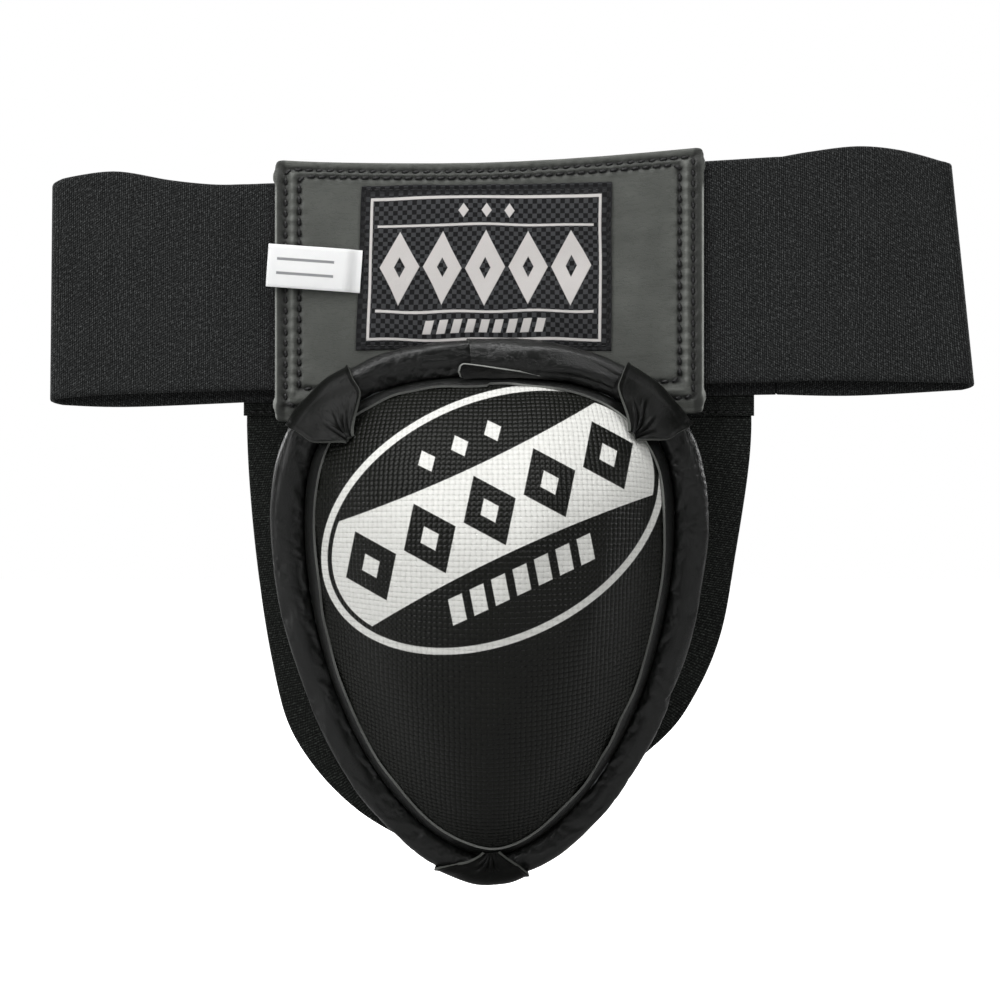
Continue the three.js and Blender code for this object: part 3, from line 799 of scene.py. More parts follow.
def panel_grid(columns, rows, y):
    """Grid over the panel: rows along X, columns up, with its corners rounded."""
    x = np.linspace(panel_low.x, panel_high.x, rows)[:, None] + np.zeros((1, columns))
    w = np.linspace(0, 1, columns)[None, :]
    inner_bottom = panel_bottom(np.clip(x, panel_low.x + CORNER, panel_high.x - CORNER))
    inner_top = panel_top(np.clip(x, panel_low.x + CORNER, panel_high.x - CORNER))
    side = np.minimum(x - panel_low.x, panel_high.x - x)
    cut = CORNER - np.sqrt(np.maximum(CORNER ** 2 - np.maximum(CORNER - side, 0) ** 2, 0))
    z = (inner_bottom + cut) * (1 - w) + (inner_top - cut) * w
    return np.stack([x, np.full_like(x, y), z], -1)


def row_distance(x, z, row):
    """Distance to one ring of stitches."""
    side, top, bottom = row
    left, right = panel_low.x + side, panel_high.x - side
    upper, lower = panel_top(x) - top, panel_bottom(x) + bottom
    dx = np.maximum(left - x, x - right)
    dz = np.maximum(lower - z, z - upper)
    outside = np.hypot(np.maximum(dx, 0), np.maximum(dz, 0))
    return np.abs(np.where((dx > 0) & (dz > 0), outside, np.maximum(dx, dz)))


def panel_relief(x, z):
    """Height of the panel's face: sunk along the rows, raised between them, a little uneven elsewhere."""
    outer, inner = (row_distance(x, z, row) for row in ROWS)
    nearest = np.minimum(outer, inner)
    side = np.minimum(x - panel_low.x, panel_high.x - x)
    beat = np.where(side < 14 * MM, z, x)
    pucker = 0.5 + 0.5 * np.cos(2 * math.pi * beat / STITCH_PITCH)
    groove = (0.45 + 0.55 * pucker) * dip(nearest, 1.0 * MM)
    between = dip(outer - BETWEEN_ROWS, 1.3 * MM) * dip(inner - BETWEEN_ROWS, 1.3 * MM)
    ridge = (0.35 + 0.4 * (1 - pucker)) * between
    soft = 0.22 * ripples(11, 46 * MM, x, z) + 0.1 * ripples(12, 13 * MM, x, z)
    flank = 0.12 * ripples(13, 5 * MM, x, z) * dip(nearest, 4 * MM)
    return (0.75 - groove + ridge + soft * (1 - dip(nearest, 6 * MM)) + flank) * MM


def panel_shade(x, z):
    """Painted shade along the rows and on the side margins, pale raw edges, a painted highlight between the
    rows.
    """
    outer, inner = (row_distance(x, z, row) for row in ROWS)
    side = np.minimum(x - panel_low.x, panel_high.x - x)
    margin = smooth(side, 4.2 * MM, 3.0 * MM) * smooth(side, 0.2 * MM, 1.4 * MM)
    raw = smooth(side, 0.75 * MM, 0.35 * MM) * smooth(z, 40 * MM, 36 * MM)
    between = dip(outer - BETWEEN_ROWS, 1.2 * MM) * dip(inner - BETWEEN_ROWS, 1.2 * MM)
    return 1.0 * dip(np.minimum(outer, inner), 1.15 * MM) + 0.8 * margin - 1.3 * raw - 0.2 * between


def panel_face_y(x, z):
    """Y of the panel's finished front face."""
    return panel_low.y - panel_relief(x, z) + FACE_RISE + pinch(x, z)


def pinch(x, z):
    """The two leathers close on each other along the top and bottom, where no band lies between them."""
    gap = np.minimum(panel_top(x) - z, z - panel_bottom(x))
    return 1.15 * MM * smooth(gap, 5 * MM, 0.5 * MM)


def add_panel():
    grid = panel_grid(200, 330, panel_low.y + PANEL_THICKNESS / 2)
    x, z = grid[..., 0], grid[..., 2]
    grid[..., 1] += pinch(x, z)
    front = sheet("waist_panel_front_leather", grid, PANEL_THICKNESS, panel_relief(x, z) - FACE_RISE,
                  rounding=4, materials=[looks["panel"], looks["raw"]], shade=panel_shade(x, z))
    place_piece(front, "panel_leather", "panel", "waist_panel_front")
    thin = panel_back_high.y - panel_back_low.y
    grid = panel_grid(110, 180, panel_back_high.y - thin / 2)
    x, z = grid[..., 0], grid[..., 2]
    grid[..., 1] -= pinch(x, z)
    groove = sum(dip(row_distance(x, z, row), 0.9 * MM) for row in ROWS)
    relief = -0.45 * MM * groove + 0.12 * MM * ripples(15, 30 * MM, x, z)
    back = sheet("waist_panel_back_leather", grid[:, ::-1], thin, relief[:, ::-1], rounding=4,
                 materials=[looks["panel_back"], looks["raw"]])
    place_piece(back, "panel_leather", "panel", "waist_panel_back")


def row_path(row):
    """The closed line of one ring of stitches, as X and Z."""
    side, top, bottom = row
    left, right = panel_low.x + side, panel_high.x - side
    x_run = np.linspace(left, right, 60)
    upper = np.stack([x_run, panel_top(x_run) - top], -1)
    lower = np.stack([x_run, panel_bottom(x_run) + bottom], -1)
    corner = 1.6 * MM
    rise = np.linspace(0, 1, 40)[:, None]

    def upright(x, low, high):
        return np.hstack([np.full((40, 1), x), low + corner + (high - low - 2 * corner) * rise])

    return np.vstack([
        upper[1:-1], upright(right, lower[-1, 1], upper[-1, 1])[::-1],
        lower[1:-1][::-1], upright(left, lower[0, 1], upper[0, 1]),
    ])


def panel_stitch_y(x, z):
    return panel_face_y(x, z) - 0.1 * MM


def add_panel_stitches():
    for level, row in zip(("outer", "inner"), ROWS):
        piece = face_stitches(f"panel_stitches_{level}", row_path(row), panel_stitch_y, STITCH_PITCH,
                              3.1 * MM, 0.58 * MM, lean=0.14)
        place_piece(piece, "panel_thread", "panel", f"panel_thread_{level}")


# ---- Label and tag ----

LABEL_LEAN = 2.3 * MM         # the label's bottom left corner is pulled out, and its top right corner up
LABEL_RISE = 1.3 * MM
LABEL_SEAM = 1.3 * MM         # how far its seam is in from its edge


def label_lift(x, z):
    """How far the label stands off the panel: cushioned, and pulled down at its seam."""
    side = np.minimum.reduce([x - label_low.x, label_high.x - x, z - label_low.z, label_high.z - z])
    seam = dip(side - LABEL_SEAM, 0.8 * MM)
    puff = smooth(side, 1.5 * MM, 9 * MM)
    return (0.18 * ripples(21, 24 * MM, x, z) * puff + 0.35 * puff - 0.22 * seam) * MM


def add_label():
    rows, columns = 240, 150
    x = np.linspace(label_low.x, label_high.x, rows)[:, None] + np.zeros((1, columns))
    z = np.linspace(label_low.z, label_high.z, columns)[None, :] + np.zeros((rows, 1))
    edge = 0.35 * MM * ripples(22, 30 * MM, x, z)
    y = label_high.y - 0.15 * MM - label_lift(x, z)
    left = (label_high.x - x) / (label_high.x - label_low.x)
    down = (label_high.z - z) / (label_high.z - label_low.z)
    lean = -LABEL_LEAN * left * down
    rise = LABEL_RISE * (1 - left) * (1 - down)
    grid = np.stack([x + edge * 0.4 + lean, y, z + edge + rise], -1)
    label = sheet("damask_label", grid, 0.6 * MM, along=x[:, 0] - label_low.x, materials=[looks["label"]])
    place_piece(label, "label_weave", "panel", "woven_label")
    left_x, right_x = label_low.x + LABEL_SEAM, label_high.x - LABEL_SEAM
    low_z, high_z = label_low.z + LABEL_SEAM, label_high.z - LABEL_SEAM
    corners = np.array([[left_x, low_z], [right_x, low_z], [right_x, high_z], [left_x, high_z]])
    outline = np.vstack([np.linspace(corners[k], corners[(k + 1) % 4], 60)[:-1] for k in range(4)])
    seam = face_stitches("label_stitches", outline, lambda x, z: label_high.y - 0.5 * MM - label_lift(x, z),
                         2.6 * MM, 2.0 * MM, 0.22 * MM)
    place_piece(seam, "panel_thread", "panel", "label_thread")


TAG_PLY = 0.4 * MM
TAG_HALF_GAP = 0.55 * MM      # between the tag's middle and each of its two layers
TAG_HEIGHT = 15.4 * MM
TAG_UNDER = 1.6 * MM          # length of tape under the label


def tag_profile(length):
    """The tape from its root round its fold and back: distance from the root, and depth."""
    t = np.linspace(-TAG_UNDER / length, 1, 30)
    turn = np.linspace(0, math.pi, 11)[1:-1]
    reach = np.concatenate([t * length, length + TAG_HALF_GAP * np.sin(turn), t[::-1] * length])
    flat = np.full(len(t), TAG_HALF_GAP)
    depth = np.concatenate([flat, TAG_HALF_GAP * np.cos(turn), -flat])
    tuck = smooth(reach, 4 * MM, 0)
    gape = (1 + 0.9 * np.sin(math.pi * np.clip(reach / length, 0, 1))) * (1 - 0.7 * tuck)
    curl = 0.9 * MM * (reach / length) ** 2 - 1.3 * MM * tuck
    return reach, depth * gape - curl


def add_tag():
    """The folded tape: out from under the label, round its fold and back."""
    hinge = joint("tag_flap")
    root = np.array(hinge["pos_m"])
    up = np.array(hinge["axis"]) / np.linalg.norm(hinge["axis"])
    outward = -np.cross([0, 1, 0], up)
    reach, depth = tag_profile(root[0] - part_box("folded_tag")[0].x - 0.9 * MM)
    share = np.linspace(0, 1, 14)[None, :, None]
    bow = 0.25 * MM * np.sin(math.pi * share)
    grid = (root + reach[:, None, None] * outward + (share - 0.5) * TAG_HEIGHT * up
            + (depth[:, None, None] - bow) * np.array([0, 1, 0]))
    tag = sheet("folded_tape_tag", grid, TAG_PLY, rounding=2, materials=[looks["tape"]])
    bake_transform(tag)
    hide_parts("folded_tag")


# ---- Cup ----

ROLL_RADIUS = 6.4 * MM        # at the top; the roll thins towards the bottom by ROLL_THINNING
ROLL_THINNING = 1.4 * MM
ROLL_CENTRE = -6.5 * MM       # from the rim's outline to the middle of the roll, at the top
STUFFING_FRAMES = 18
RIM_TOP_SHARE = 0.3226        # the rim is widest this far down
RIM_POWERS = (2.5, 1.8)       # its outline is a superellipse of these powers, above and below its widest
DOME_BASE = 1.05 * MM         # the dome stands this far in front of the rim's plane
DOME_DEPTH = 52 * MM
DOME_FULLNESS = 0.75
APEX_Z = -82 * MM             # along the rim's plane, from its top
SHELL_FOOT = -2 * ROLL_RADIUS - 0.5 * MM     # offset of the steel dome's foot from the rim's outline

roll_low, roll_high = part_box("rim_roll")
cover_low, cover_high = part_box("cup_cover")
rim_half_width = (roll_high.x - roll_low.x) / 2 + 0.1 * MM
top_y = roll_low.y + ROLL_RADIUS
bottom_y = roll_high.y - ROLL_RADIUS
rim_span = roll_high.z - roll_low.z
rim_tilt = math.atan2(bottom_y - top_y, rim_span + 2 * ROLL_CENTRE)
rim_height = rim_span / math.cos(rim_tilt)
down_the_rim = np.array([0, math.sin(rim_tilt), -math.cos(rim_tilt)])
into_the_cup = np.array([0, math.cos(rim_tilt), math.sin(rim_tilt)])
rim_top = np.array([0, top_y + math.sin(rim_tilt) * ROLL_CENTRE, roll_high.z])


def rim_table():
    """The roll's outer outline, evenly spaced: X, height and outward direction of each, and its length."""
    samples = 2400
    angle = math.pi / 2 - 2 * math.pi * np.arange(samples) / samples
    above = np.sin(angle) >= 0
    power = np.where(above, 2 / RIM_POWERS[0], 2 / RIM_POWERS[1])
    height = np.where(above, RIM_TOP_SHARE, 1 - RIM_TOP_SHARE) * rim_height
    across, up = np.cos(angle), np.sin(angle)
    x = rim_half_width * np.sign(across) * np.abs(across) ** power
    z = -RIM_TOP_SHARE * rim_height + height * np.sign(up) * np.abs(up) ** power
    line = np.stack([x, z], -1)
    closed = np.vstack([line, line[:1]])
    run = lengths_along(closed)
    even = np.linspace(0, run[-1], samples + 1)[:-1]
    x = np.interp(even, run, closed[:, 0])
    z = np.interp(even, run, closed[:, 1])
    reach = 12
    dx = np.roll(x, -reach) - np.roll(x, reach)
    dz = np.roll(z, -reach) - np.roll(z, reach)
    size = np.hypot(dx, dz)
    return x, z, -dz / size, dx / size, run[-1]


rim_x, rim_z, rim_nx, rim_nz, rim_length = rim_table()


def round_the_rim(count):
    """Evenly spaced places from 0 to 1, as a column."""
    return (np.arange(count) / count)[:, None]


def at_rim(values, place):
    """One of the rim table's values at the given places."""
    samples = len(values)
    return np.interp(np.mod(place, 1) * samples, np.arange(samples + 1), np.append(values, values[0]))


def beside_rim(place, offset, depth):
    """Points `offset` outward from the rim's outline and `depth` behind its plane. place runs from 0 to 1."""
    place, offset, depth = np.broadcast_arrays(place, offset, depth)
    x = at_rim(rim_x, place) + at_rim(rim_nx, place) * offset
    z = at_rim(rim_z, place) + at_rim(rim_nz, place) * offset
    return (rim_top + x[..., None] * np.array([1, 0, 0]) - z[..., None] * down_the_rim
            + depth[..., None] * into_the_cup)


def roll_radius(place):
    from_top = np.abs(np.mod(place + 0.5, 1) - 0.5)
    return ROLL_RADIUS - ROLL_THINNING * smooth(from_top, 0.14, 0.42)


def roll_centre(place):
    """Offset of the roll's centre from the rim's outline."""
    return -roll_radius(place) - 0.1 * MM


def dome_offset(place):
    """Offset of the cover's foot: just inside the roll."""
    return SHELL_FOOT + 2 * (ROLL_RADIUS - roll_radius(place))


def on_dome(place, reach, lift=0.0, foot=None):
    """Points on the cup cover: reach is 0 at the apex and 1 at the foot; lift raises them off it.

    foot is the offset of the dome's foot from the rim's outline, where it isn't the cover's own.
    """
    place, reach, lift = np.broadcast_arrays(place, reach, lift)
    offset = (dome_offset(place) if foot is None else foot) + lift
    foot_x = at_rim(rim_x, place) + at_rim(rim_nx, place) * offset
    foot_z = at_rim(rim_z, place) + at_rim(rim_nz, place) * offset
    x = foot_x * reach
    z = APEX_Z + (foot_z - APEX_Z) * reach
    depth = -DOME_BASE - (DOME_DEPTH + lift) * np.clip(1 - reach ** 2, 0, 1) ** DOME_FULLNESS
    return (rim_top + x[..., None] * np.array([1, 0, 0]) - z[..., None] * down_the_rim
            + depth[..., None] * into_the_cup)


def on_roll(place, angle, proud):
    """Points `proud` of the roll's surface; angle 0 is outward and a quarter turn is the front."""
    radius = roll_radius(place) + proud
    return beside_rim(place, roll_centre(place) + radius * np.cos(angle), -radius * np.sin(angle))


def roll_relief(place, angle):
    """Unevenness of the stuffed roll: lumps, a long crease in front and short puckers at the inner seam."""
    run = place * rim_length
    x, z = at_rim(rim_x, place), at_rim(rim_z, place)
    lumps = 0.22 * ripples(31, 32 * MM, x, z, 9 * MM * np.cos(angle))
    lumps = lumps + 0.07 * ripples(32, 11 * MM, x, z, 7 * MM * angle)
    crease_at = 1.95 + 0.12 * np.sin(run / (21 * MM)) + 0.1 * np.sin(run / (8.3 * MM) + 1.0)
    crease = -0.55 * dip(angle - crease_at, 0.16)
    inner = smooth(angle, 1.3, 2.3)
    folds = np.abs(np.sin(run / (2.9 * MM) + 1.4 * np.sin(run / (9.7 * MM)) + 2.0 * np.sin(run / (23 * MM))))
    strength = 0.35 + 0.65 * smooth(np.sin(run / (31 * MM) + 0.7), -0.4, 0.8)
    puckers = -0.5 * (1 - folds) ** 2 * inner * strength
    wander = ripples(33, 6 * MM, x, z, 5 * MM * angle)
    fine = -0.16 * dip(wander, 0.22) * smooth(np.cos(run / (17 * MM)), -0.2, 0.9)
    flat = -0.35 * dip(angle - 1.15, 0.35)
    return (lumps + crease + puckers + fine + flat) * MM


def stuffed(loops, held, pressure, growth, reach):
    """The tube after a cloth simulation: blown up from inside and grown a little, so that its skin buckles.

    held is how firmly each point stays put, 0 to 1, and reach is the furthest that a point may move.
    """
    rows, count, _ = loops.shape
    tube = add_mesh("roll_simulation", loops, ring_faces(rows, count, rows))
    group = tube.vertex_groups.new(name="held")
    for level in range(11):
        members = np.flatnonzero(np.round(held.ravel() * 10).astype(int) == level)
        group.add(members.tolist(), level / 10, "REPLACE")
    cloth = tube.modifiers.new("stuffing", "CLOTH").settings
    cloth.vertex_group_mass = "held"
    cloth.pin_stiffness = 2.0
    cloth.quality = 5
    cloth.mass = 0.3
    cloth.tension_stiffness = cloth.compression_stiffness = 20
    cloth.shear_stiffness = 8
    cloth.bending_stiffness = 6.0
    cloth.use_pressure = True
    cloth.uniform_pressure_force = pressure
    cloth.shrink_min = -growth
    cloth.effector_weights.gravity = 0
    scene = bpy.context.scene
    for frame_number in range(1, STUFFING_FRAMES + 1):
        scene.frame_set(frame_number)
    moved = tube.evaluated_get(bpy.context.evaluated_depsgraph_get()).data
    points = np.zeros(len(moved.vertices) * 3, np.float32)
    moved.vertices.foreach_get("co", points)
    shift = points.reshape(loops.shape).astype(float) - loops
    size = np.linalg.norm(shift, axis=-1, keepdims=True)
    shift *= np.minimum(1, reach / np.maximum(size, 1e-9))
    scene.frame_set(1)
    bpy.data.objects.remove(tube)
    return loops + shift


def doubled(grid, axis):
    """Twice as many points round a closed direction, on a smooth curve."""
    before, after = np.roll(grid, 1, axis), np.roll(grid, -1, axis)
    beyond = np.roll(grid, -2, axis)
    between = (9 * (grid + after) - before - beyond) / 16
    return np.stack([grid, between], axis + 1).reshape(*grid.shape[:axis], -1, *grid.shape[axis + 1:])


BINDING_THICKNESS = 1.0 * MM


def round_the_roll(steps):
    """Angles round the roll's section, as a row, from its inner side over the front."""
    return -math.pi + 2 * math.pi * np.arange(steps)[None, :] / steps


def add_roll():
    around, steps = 480, 36
    slack = 0.5 * MM
    angle = round_the_roll(steps)
    tube = on_roll(round_the_rim(around), -angle, -slack)
    seam = np.abs(np.abs(angle) - math.pi)
    held = np.repeat(smooth(seam, 0.75, 0.2), around, 0)
    tube = stuffed(tube, held, pressure=4.0, growth=0.014, reach=1.4 * MM)
    tube = doubled(doubled(tube, 0), 1)
    place, angle = round_the_rim(2 * around), round_the_roll(2 * steps)
    outward = unit(tube - beside_rim(place, roll_centre(place), 0.0))
    extra = 0.0
    loops = tube + outward * (roll_relief(place, angle) + extra)[..., None]
    along = np.linspace(0, rim_length, 2 * around + 1)
    girth = np.linspace(0, 2 * math.pi * ROLL_RADIUS, 2 * steps + 1)
    roll = loft("padded_rim_roll", loops, along, girth, ring=True, materials=[looks["roll"]])
    place_piece(roll, "roll_leather", "cup", "rim_roll", "rim_foam")


def dome_reaches(steps):
    """Reaches from the apex to just short of the foot, closer together near the foot."""
    return np.sin(np.linspace(0.001, math.pi / 2, steps))[None, :] * 0.998


def add_cover():
    around = 640
    place, reach = round_the_rim(around), dome_reaches(130)
    run = place * rim_length
    edge = smooth(reach, 0.72, 0.97)
    gather = np.sin(run / (3.4 * MM) + 1.7 * np.sin(run / (13 * MM)))
    pull = smooth(np.sin(run / (37 * MM) + 2.0), 0.1, 1.0)
    x = at_rim(rim_x, place) * reach
    z = at_rim(rim_z, place) * reach
    relief = (0.3 * gather * edge * pull + 0.3 * ripples(41, 45 * MM, x, z) * smooth(reach, 1, 0.9)) * MM
    face = on_dome(place, reach, relief)
    back = on_dome(place, reach, -1.2 * MM)
    loops = np.concatenate([face, back[:, ::-1]], axis=1)
    arc = lengths_along(face[0])
    around_v = np.concatenate([arc, arc[::-1], arc[:1]])
    cover = loft("embossed_cup_cover", loops, np.linspace(0, rim_length, around + 1), around_v, ring=True,
                 materials=[looks["cover"]])
    paint_cover_maps(cover)
    place_piece(cover, "cover_leather", "cup", "cup_cover")


def paint_cover_maps(cover):
    """Lays the weave out by length from the apex and the print flat across the front."""
    mesh = cover.data
    points = np.array([vertex.co for vertex in mesh.vertices])
    corner_vertex = np.zeros(len(mesh.loops), np.int32)
    mesh.loops.foreach_get("vertex_index", corner_vertex)
    apex = on_dome(np.array([0.0]), np.array([0.0]))[0]
    local = points - apex
    across, up = local[:, 0], -(local @ down_the_rim)
    behind = local @ into_the_cup
    flat = np.hypot(across, up)
    stretch = np.sqrt(flat ** 2 + behind ** 2) / np.maximum(flat, 1e-6)
    weave = np.stack([across * stretch, up * stretch], -1)
    mesh.uv_layers["cloth"].data.foreach_set("uv", weave[corner_vertex].astype(np.float32).ravel())
    centre_x = (cover_low.x + cover_high.x) / 2 + PRINT_RIGHT
    centre_z = cover_high.z - PRINT_DOWN
    shown = np.stack([points[:, 0] - centre_x, points[:, 2] - centre_z], -1)
    layer = mesh.uv_layers.new(name="print")
    layer.data.foreach_set("uv", shown[corner_vertex].astype(np.float32).ravel())


def add_lining():
    around = 240
    place, reach = round_the_rim(around), dome_reaches(60)
    shrink = -3.6 * MM
    front = on_dome(place, reach, shrink, SHELL_FOOT)
    x = at_rim(rim_x, place) * reach
    z = at_rim(rim_z, place) * reach
    waves = 0.25 * MM * ripples(51, 16 * MM, x, z)
    back = on_dome(place, reach, shrink - 1.1 * MM + waves, SHELL_FOOT)
    shift = (DOME_BASE * 2) * into_the_cup
    lip_offset = dome_offset(place[:, 0]) - 0.3 * MM
    lip = np.stack([beside_rim(place[:, 0], lip_offset, DOME_BASE),
                    beside_rim(place[:, 0], lip_offset, DOME_BASE + 1.2 * MM)], 1)
    loops = np.concatenate([front + shift, lip, (back + shift)[:, ::-1]], axis=1)
    arc = lengths_along(front[0])
    around_v = np.concatenate([arc, arc[-1] + np.array([3, 4]) * MM, arc[::-1] + 6 * MM, arc[:1]])
    lining = loft("cup_lining_leather", loops, np.linspace(0, rim_length, around + 1), around_v, ring=True,
                  materials=[looks["lining"]])
    place_piece(lining, "lining_leather", "cup", "cup_lining")


def add_front_binding():
    place = round_the_rim(720)
    run = place * rim_length
    w = np.linspace(0, 1, 12)[None, :]
    inner_reach = 0.968 + 0.004 * np.sin(run / (19 * MM)) + 0.003 * np.sin(run / (7.1 * MM) + 1)
    inner_reach = inner_reach - 0.022 * np.sin(2 * math.pi * place) ** 2
    reach = inner_reach + (0.997 - inner_reach) * w
    wave = 0.22 * np.sin(run / (4.6 * MM) + 1.5 * np.sin(run / (17 * MM))) * (1 - w)
    wave = wave * smooth(np.sin(run / (27 * MM)), -0.5, 0.7)
    lift = (0.75 + wave + 0.35 * np.sin(math.pi * w)) * MM
    strip = sheet("front_binding_leather", on_dome(place, reach, lift), BINDING_THICKNESS,
                  ring=True, rounding=0, materials=[looks["roll"], looks["raw"]])
    place_piece(strip, "roll_leather", "cup", "rim_front_binding")


def add_back_binding():
    place = round_the_rim(360)
    run = place * rim_length
    w = np.linspace(0, 1, 8)[None, :]
    offset = dome_offset(place) + (-3.5 + 4.6 * w + 0.3 * np.sin(run / (11 * MM))) * MM
    depth = (3.1 + 0.12 * np.sin(run / (5.3 * MM)) + 0.3 * np.sin(math.pi * w)) * MM
    strip = sheet("back_binding_leather", beside_rim(place, offset, depth)[:, ::-1], BINDING_THICKNESS,
                  ring=True, rounding=0, materials=[looks["roll"], looks["raw_dark"]])
    place_piece(strip, "roll_leather", "cup", "rim_back_binding")


def add_back_stitches():
    """The seam that closes the roll, behind the rim."""
    place = round_the_rim(720)[:, 0]
    path = beside_rim(place, dome_offset(place) - 1.3 * MM, 4.0 * MM)
    centre, heading = spaced(path, 4.2 * MM, ring=True)
    normal = np.tile(into_the_cup, (len(centre), 1))
    seam = beads("back_seam_stitches", centre, heading, normal, 3.0 * MM, 0.42 * MM, looks["thread"])
    place_piece(seam, "panel_thread", "cup")


# ---- Leather wrapped round the roll ----

WRAP_CLEAR = 0.55 * MM
WRAP_THICKNESS = 1.3 * MM


def loop_section(place, tip_offset, tip_depth, steps):
    """Side view of a loop, as offset and depth: taut from its tip to the roll, round it and behind it."""
    radius = roll_radius(place) + WRAP_CLEAR + WRAP_THICKNESS / 2
    tip = np.array([tip_offset - roll_centre(place), tip_depth])
    distance = np.linalg.norm(tip)
    leave = math.atan2(-tip[1], tip[0]) - math.acos(min(1.0, radius / distance))
    touch = np.array([radius * math.cos(leave), -radius * math.sin(leave)])
    t = np.linspace(0, 1, steps)[:-1, None]
    bulge = 0.9 * MM * np.sin(math.pi * t) * np.array([0.6, -0.8])
    taut = tip * (1 - t) + touch * t + bulge
    angle = np.linspace(leave, -math.pi / 2, steps)[:, None]
    arc = radius * np.hstack([np.cos(angle), -np.sin(angle)])
    slide = np.linspace(0, 7 * MM, 8)[1:, None]
    tail = np.hstack([-slide, np.full_like(slide, radius)])
    section = np.vstack([taut, arc, tail])
    return section[:, 0] + roll_centre(place), section[:, 1]


def gathered_loop(name, node, middle, width, tip, tip_width, creases, seed, hinge=None):
    """A loop of leather round the roll, drawn in to a gathered tip.

    middle and width are along the rim, and tip is (along the rim, offset, depth). Each crease is (where it
    is across the loop, -1 to 1; how far it reaches from the tip in mm; its depth in mm). A loop without a
    hinge rides the cup; one with it stays where it is built.
    """
    columns = 84
    side = np.linspace(-1, 1, columns)[None, :]
    offset, depth = loop_section(middle / rim_length, tip[1], tip[2], 46)
    travelled = lengths_along(np.stack([offset, depth], -1))[:, None]
    flare = smooth(travelled, -4 * MM, 13 * MM)
    half = tip_width / 2 + (width - tip_width) / 2 * (flare - flare[0]) / (1 - flare[0])
    half = half + 0.2 * MM * ripples(seed, 11 * MM, travelled, side * 0)
    centre = tip[0] + (middle - tip[0]) * smooth(travelled, 0, 15 * MM)
    place = (centre + side * half) / rim_length
    grid = beside_rim(place, offset[:, None] + 0 * side, depth[:, None] + 0 * side)
    pleat = shade = 0
    for spot, reach, size in creases:
        drawn = spot * (0.55 + 0.45 * smooth(travelled, 0, 14 * MM))
        gap = (side - drawn) * half
        fade = smooth(travelled, reach * MM, 0.35 * reach * MM)
        pleat = pleat - size * MM * fade * (dip(gap, 0.75 * MM) - 0.55 * dip(gap - 1.5 * MM, 1.2 * MM))
        # Painted shade along each crease.
        shade = shade + 0.75 * fade * dip(gap, 0.7 * MM)
    sag = 0.22 * MM * ripples(seed + 1, 12 * MM, travelled, side * width / 2)
    fold_down = -0.5 * MM * smooth(np.abs(side), 0.9, 1.0)
    grid = grid + grid_normals(grid) * (pleat + sag + fold_down)[..., None]
    loop = sheet(name, grid, WRAP_THICKNESS * 0.85, rounding=0, materials=[looks["loop"], looks["raw_dark"]],
                 shade=shade)
    if hinge is None:
        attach(loop, "cup")
    else:
        hinge[1] + 0.6 * MM
        hinge[1] - 3.5 * MM
        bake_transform(loop)
    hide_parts(node)


def add_loops():
    hinge = joint("cup_swing")["pos_m"]
    left_creases = ((-0.35, 13, 1.0), (0.1, 15, 0.9), (0.5, 11, 0.8))
    gathered_loop("left_hanging_loop", "left_loop", -68 * MM, 31 * MM,
                  (-70.5 * MM, -20.5 * MM, -17.0 * MM), 6 * MM, left_creases, 61, hinge)
    right_creases = ((-0.6, 12, 0.9), (-0.2, 16, 1.0), (0.25, 13, 0.9), (0.65, 9, 0.7))
    gathered_loop("right_hanging_loop", "right_loop", 67 * MM, 32 * MM,
                  (71 * MM, -18.5 * MM, -15.5 * MM), 7 * MM, right_creases, 65, hinge)
    bottom_creases = ((-0.55, 9, 0.7), (-0.1, 11, 0.8), (0.3, 10, 0.7), (0.7, 7, 0.5))
    gathered_loop("bottom_strap_tab", "bottom_tab", rim_length / 2 + 3 * MM, 35 * MM,
                  (rim_length / 2 - 1 * MM, -11.2 * MM, -6.6 * MM), 10 * MM, bottom_creases, 69)


def add_top_lap():
    """The roll's leather laps over itself at the top: a stepped left edge that dies away to the right."""
    left, right = -8 * MM, 50 * MM
    run = np.linspace(left, right, 120)[:, None]
    angle = np.linspace(-2.3, 2.3, 60)[None, :]
    slant = 1.2 * MM * np.sin(angle) * smooth(run, 10 * MM, left)
    place = (run + slant) / rim_length
    stand = smooth(run, right, 16 * MM)
    rucks = 0.35 * MM * np.sin(angle * 5 + run / (6 * MM)) * smooth(run, left, 12 * MM)
    proud = roll_relief(place, angle) * (1 - 0.3 * stand) - 0.9 * MM + 2.2 * MM * stand + rucks * stand * 0.6
    lap = sheet("top_lap_leather", on_roll(place, angle, proud), 1.1 * MM, rounding=0,
                materials=[looks["roll"], looks["raw_dark"]])
    place_piece(lap, "roll_leather", "cup", "top_overlap_wrap")


def add_lap_lip():
    """The mouth where the roll's leather laps over itself: a leaf, hollow between its pale cut edges, with
    painted shade in the hollow.
    """
    start, length = -11.5 * MM, 36 * MM
    share = np.linspace(0, 1, 70)[:, None]
    run = start + length * share
    tip = np.sqrt(1 - (1 - np.clip(share / 0.07, 0, 1)) ** 2)
    half_angle = 0.02 + 0.36 * tip * (1 - share) ** 0.8
    across = np.linspace(-1, 1, 20)[None, :]
    angle = 1.98 + 0.3 * share + half_angle * across
    hollow = (1 - across ** 2) * (1 - share)
    proud = (2.15 - 0.9 * hollow - 0.9 * share ** 2 + 0.12 * np.sin(run / (2.3 * MM))) * MM
    # Painted shade in the hollow of the leaf.
    lip = sheet("top_lap_lip", on_roll(run / rim_length, angle, proud), 0.7 * MM, rounding=0,
                materials=[looks["roll"], looks["raw"]], shade=smooth(hollow, 0.05, 0.4))
    place_piece(lip, "roll_leather", "cup")


# ---- Leg straps ----

STRAP_PLY = 1.6 * MM
STRAP_WIDTH = 41.4 * MM
STRAP_END_WIDTH = 15 * MM
HEM_LENGTH = 12.8 * MM
STRAP_COLUMNS = 46            # points across a strap
